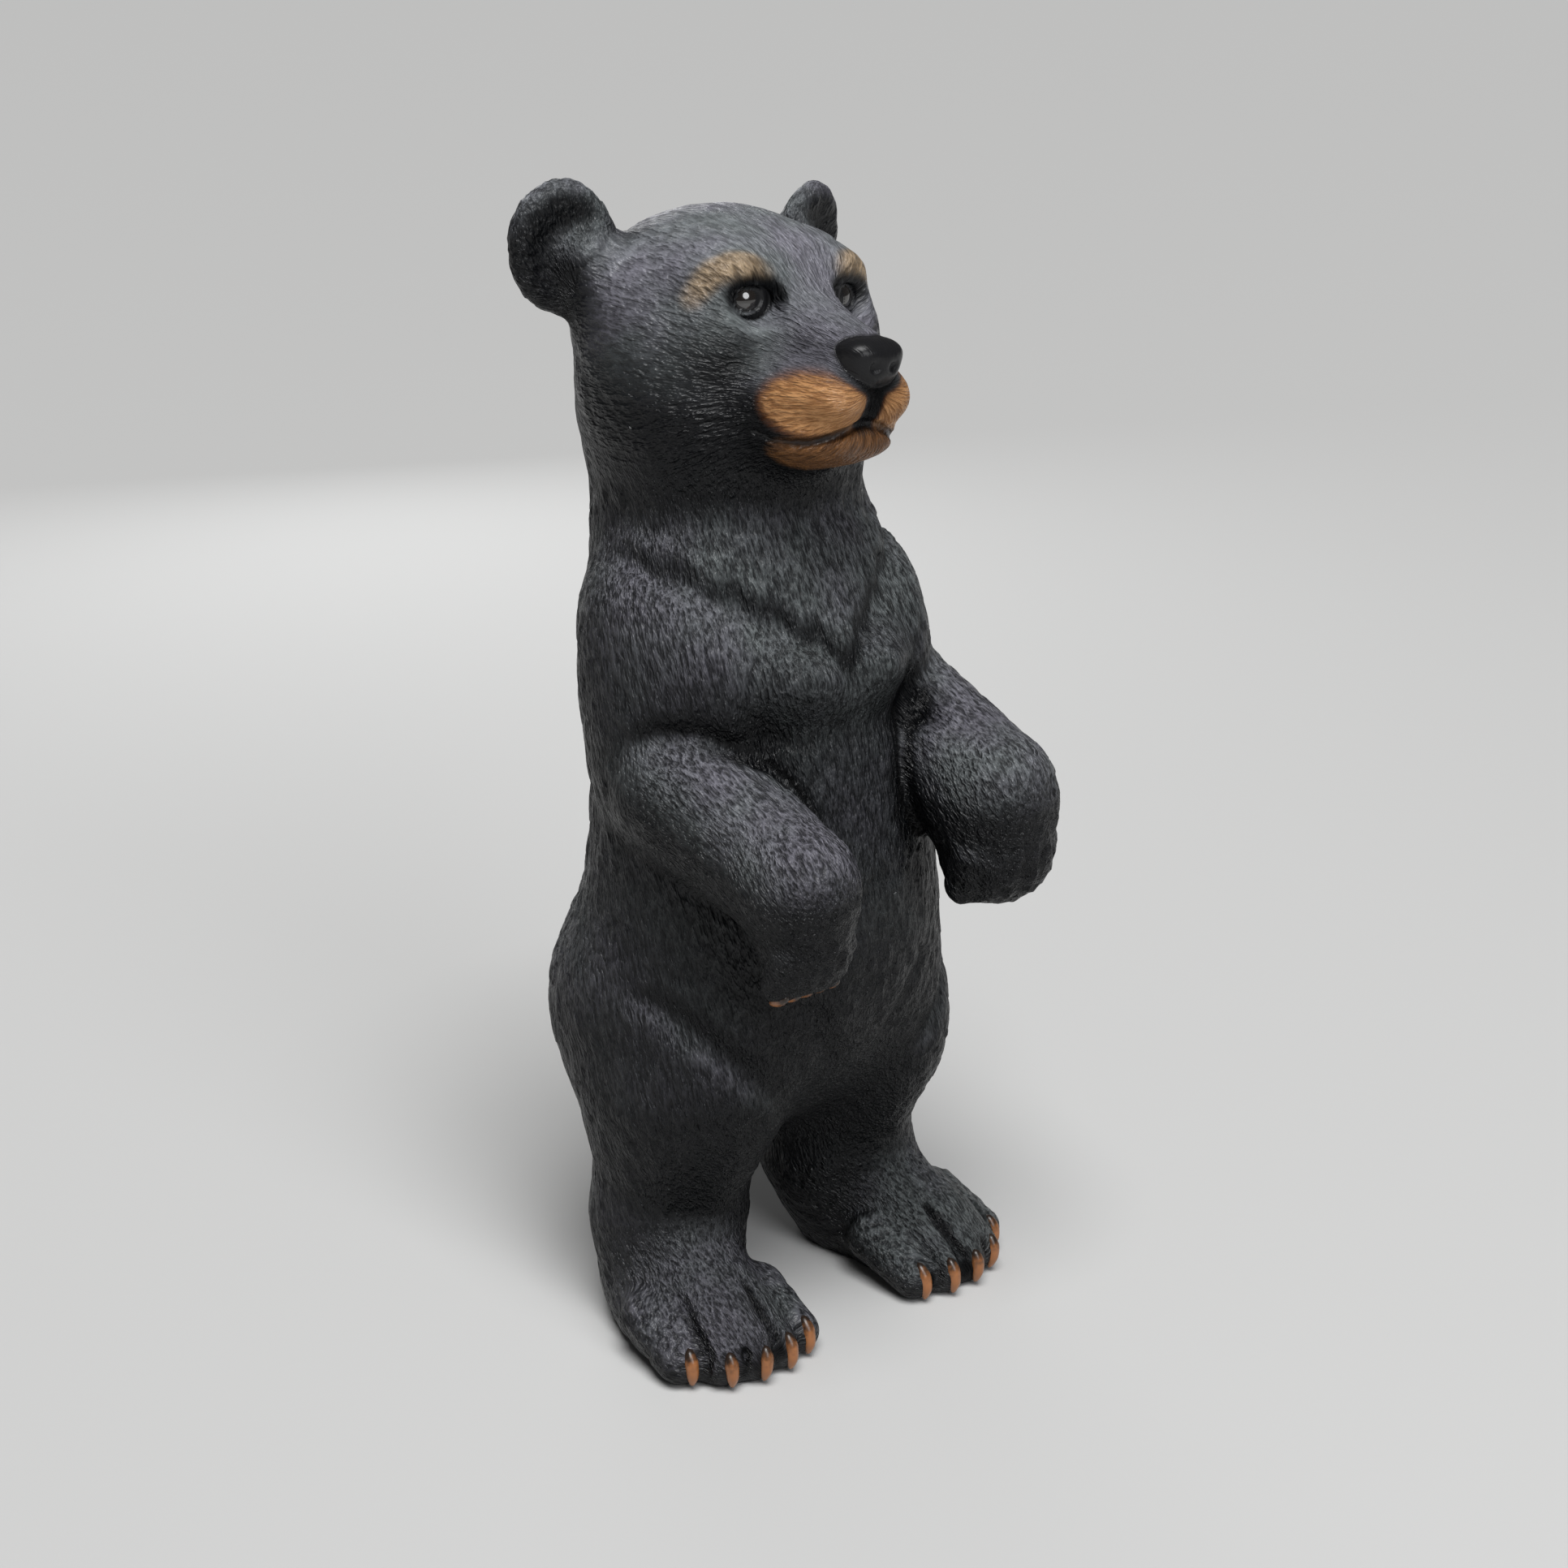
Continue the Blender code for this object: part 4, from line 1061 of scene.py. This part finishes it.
def fur_material():
    """Semi-gloss black resin carved as fur, dry-brushed grey with painted sheen, painted shade in its
    hollows, and tan muzzle and brows.
    """
    material, tree, shader = new_material("black_fur_resin")
    height = fur_height(tree)
    bare = math(tree, "MAXIMUM", attribute(tree, "nose"), attribute(tree, "mouth"))
    bare = math(tree, "MAXIMUM", bare, attribute(tree, "eyelid"))
    colour = painted(tree, height, brushed_resin_with_sheen_and_shade(tree, height))
    rough = ranged(tree, height, *STREAK_HEIGHTS, *FUR_ROUGHNESS)
    smooth = math(tree, "MULTIPLY", attribute(tree, "muzzle"), MUZZLE_SMOOTH)
    smooth = math(tree, "MAXIMUM", bare, smooth)
    carving = math(tree, "MULTIPLY", height, ranged(tree, smooth, 0.0, 1.0, 1.0, BARE_CARVING))
    bump = new_node(tree, "ShaderNodeBump", Strength=1.0, Distance=STRAND_DEPTH, Height=carving)
    fill(tree, shader, Base_Color=mix(tree, bare, colour, NOSE_BLACK),
         Roughness=mix(tree, bare, rough, BARE_ROUGHNESS, "FLOAT"),
         Normal=bump.outputs["Normal"], Specular_IOR_Level=RESIN_SPECULAR)
    return material


def eye_material():
    material, tree, shader = new_material("eye_black_gloss")
    cloud = noise_at(tree, own_place(tree), EYE_NOISE)
    fill(tree, shader, Base_Color=mix(tree, cloud, EYE_BLACK, EYE_BROWN), Roughness=EYE_ROUGHNESS,
         Specular_IOR_Level=EYE_SPECULAR, Coat_Weight=EYE_COAT, Coat_Roughness=EYE_COAT_ROUGHNESS)
    return material


def claw_material():
    material, tree, shader = new_material("claw_tan")
    streaks = noise_at(tree, own_place(tree), CLAW_NOISE)
    uneven = math(tree, "ADD", attribute(tree, "tip_share"), swing(tree, streaks, CLAW_UNEVEN))
    colour = mix(tree, ranged(tree, uneven, *CLAW_FADE), CLAW_DARK, CLAW_TAN)
    bump = new_node(tree, "ShaderNodeBump", Strength=CLAW_BUMP, Distance=CLAW_BUMP_DEPTH, Height=streaks)
    fill(tree, shader, Base_Color=colour, Roughness=CLAW_ROUGHNESS, Normal=bump.outputs["Normal"])
    return material


def from_head(point):
    """A point written for the upright head, where the turned head has it."""
    pivot = Vector(HEAD_PIVOT)
    return Matrix(HEAD_TURN.tolist()) @ (Vector(point) - pivot) + pivot - Vector(ORIGIN_SHIFT)


def add_mesh(name, bm, material):
    """Make an object of a finished bmesh."""
    mesh = bpy.data.meshes.new(name)
    bm.to_mesh(mesh)
    bm.free()
    mesh.materials.append(material)
    return add_object(name, mesh)


def eyeballs(material):
    bm = bmesh.new()
    x, y, z = EYE_CENTRE
    for side in (1, -1):
        bmesh.ops.create_uvsphere(bm, u_segments=EYE_SEGMENTS, v_segments=EYE_RINGS, radius=EYE_RADIUS,
                                  matrix=Matrix.Translation(from_head((x * side, y, z))))
    item = add_mesh("eyes", bm, material)
    item.data.shade_smooth()
    return item


def add_claw(bm, share, points, radii):
    """A tapered claw along a bent line, closed at both ends."""
    rings = []
    line = [Vector(point) for point in points]
    for i in range(CLAW_RINGS):
        t = i / (CLAW_RINGS - 1)
        place = line[0].lerp(line[1], t).lerp(line[1].lerp(line[2], t), t)
        ahead = (line[1].lerp(line[2], t) - line[0].lerp(line[1], t)).normalized()
        radius = float(np.interp(t, CLAW_STATIONS, radii))
        radius *= float(np.sqrt(max(1.0 - (2.0 * t - 1.0) ** CLAW_END_POWER, CLAW_END_LEAST)))
        across = Vector((1.0, 0.0, 0.0))
        up = across.cross(ahead)
        ring = []
        for k in range(CLAW_SIDES):
            angle = 2.0 * np.pi * k / CLAW_SIDES
            outward = float(np.cos(angle)) * across + float(np.sin(angle)) * up
            ring.append(bm.verts.new(place + radius * outward))
            ring[-1][share] = t
        rings.append(ring)
    for first, second in zip(rings, rings[1:]):
        for k in range(CLAW_SIDES):
            n = (k + 1) % CLAW_SIDES
            bm.faces.new((first[k], first[n], second[n], second[k]))
    bm.faces.new(rings[0][::-1])
    bm.faces.new(rings[-1])


def toe_lines():
    """Bent line and radii of each toe's claw, on both feet."""
    for side in (1, -1):
        for x, y in TOES:
            points = []
            for place in TOE_CLAW:
                px, py, pz = toe_point(x, y, place)
                shift = STANCE_SHIFT * (1.0 - smoothstep(pz, 0.0, STANCE_HEIGHT))
                points.append((side * px + shift, py, pz))
            yield on_surface(points, TOE_CLAW_STANDS), TOE_CLAW_RADII


def on_surface(points, stands):
    """The points moved sideways until they stand this far out of the casting."""
    points = np.array(points, dtype=np.float32)
    for _ in range(CLAW_FITTING_STEPS):
        gradient = slope(points)[:, :2]
        steepness = np.maximum((gradient * gradient).sum(axis=1), LEAST_STEEPNESS)
        points[:, :2] += ((stands - distance(points)) / steepness)[:, None] * gradient
    return points.tolist()


def finger_lines():
    """Bent line and radii of each finger's claw, on the right paw only."""
    y = RIGHT_ARM[2][1]
    z = RIGHT_ARM[2][2]
    for x in finger_places(RIGHT_ARM):
        points = [(-x, y + dy, z + dz) for dy, dz in FINGER_CLAW_LINE]
        yield points, FINGER_CLAW_RADII


def claws(material):
    bm = bmesh.new()
    share = bm.verts.layers.float.new("tip_share")
    for points, radii in (*toe_lines(), *finger_lines()):
        placed = [Vector(point) - Vector(ORIGIN_SHIFT) for point in points]
        add_claw(bm, share, placed, radii)
    bmesh.ops.recalc_face_normals(bm, faces=bm.faces[:])
    item = add_mesh("claws", bm, material)
    item.data.shade_smooth()
    return item


def facing(direction):
    """Rotation of a camera or a lamp that looks this way."""
    return Vector(direction).to_track_quat("-Z", "Y").to_euler()


def add_camera():
    shift = Vector(ORIGIN_SHIFT)
    data = bpy.data.cameras.new("camera")
    data.lens = CAMERA_LENS
    data.sensor_width = CAMERA_SENSOR
    camera = add_object("camera", data)
    camera.location = Vector(CAMERA_PLACE) - shift
    camera.rotation_euler = facing(Vector(CAMERA_AIM) - shift - camera.location)
    bpy.context.scene.camera = camera


def add_sun():
    """Broad soft light from above, a little from the front and from the statue's right."""
    data = bpy.data.lights.new("overhead", "SUN")
    data.energy = SUN_STRENGTH
    data.angle = np.radians(SUN_WIDTH)
    add_object("overhead", data).rotation_euler = facing(SUN_TOWARDS)


def add_light(name, place, aim, width, watts, colour):
    data = bpy.data.lights.new(name, "AREA")
    data.shape = "DISK"
    data.size = width
    data.energy = watts
    data.color = colour
    item = add_object(name, data)
    item.location = place
    item.rotation_euler = facing(Vector(aim) - Vector(place))


def add_floor():
    bm = bmesh.new()
    bmesh.ops.create_grid(bm, x_segments=1, y_segments=1, size=FLOOR_HALF)
    material, tree, shader = new_material("floor_pale")
    fill(tree, shader, Base_Color=FLOOR_COLOUR, Roughness=FLOOR_ROUGHNESS)
    floor = add_mesh("floor", bm, material)
    floor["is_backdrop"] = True


def add_studio():
    """Plain pale floor, soft lights and a dim white surrounding."""
    bpy.context.scene.view_settings.view_transform = "Standard"
    add_sun()
    for light in LIGHTS:
        add_light(*light)
    world = bpy.data.worlds.new("studio")
    bpy.context.scene.world = world
    world.use_nodes = True
    fill(world.node_tree, world.node_tree.nodes["Background"], Color=WORLD_COLOUR, Strength=WORLD_STRENGTH)
    add_floor()


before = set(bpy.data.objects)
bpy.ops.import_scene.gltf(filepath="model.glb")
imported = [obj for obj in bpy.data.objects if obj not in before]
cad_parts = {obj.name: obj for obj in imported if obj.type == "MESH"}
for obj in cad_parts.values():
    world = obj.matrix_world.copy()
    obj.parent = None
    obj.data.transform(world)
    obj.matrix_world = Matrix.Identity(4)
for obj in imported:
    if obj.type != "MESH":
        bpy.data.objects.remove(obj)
cad_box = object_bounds()
add_camera()
add_studio()
casting = casting_mesh()
dress_casting(casting)
casting.data.materials.clear()
casting.data.materials.append(fur_material())
for piece in (casting, eyeballs(eye_material()), claws(claw_material())):
    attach(piece, "root")
    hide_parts("bear")
boxes = [[list(corner) for corner in box] for box in (cad_box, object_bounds())]
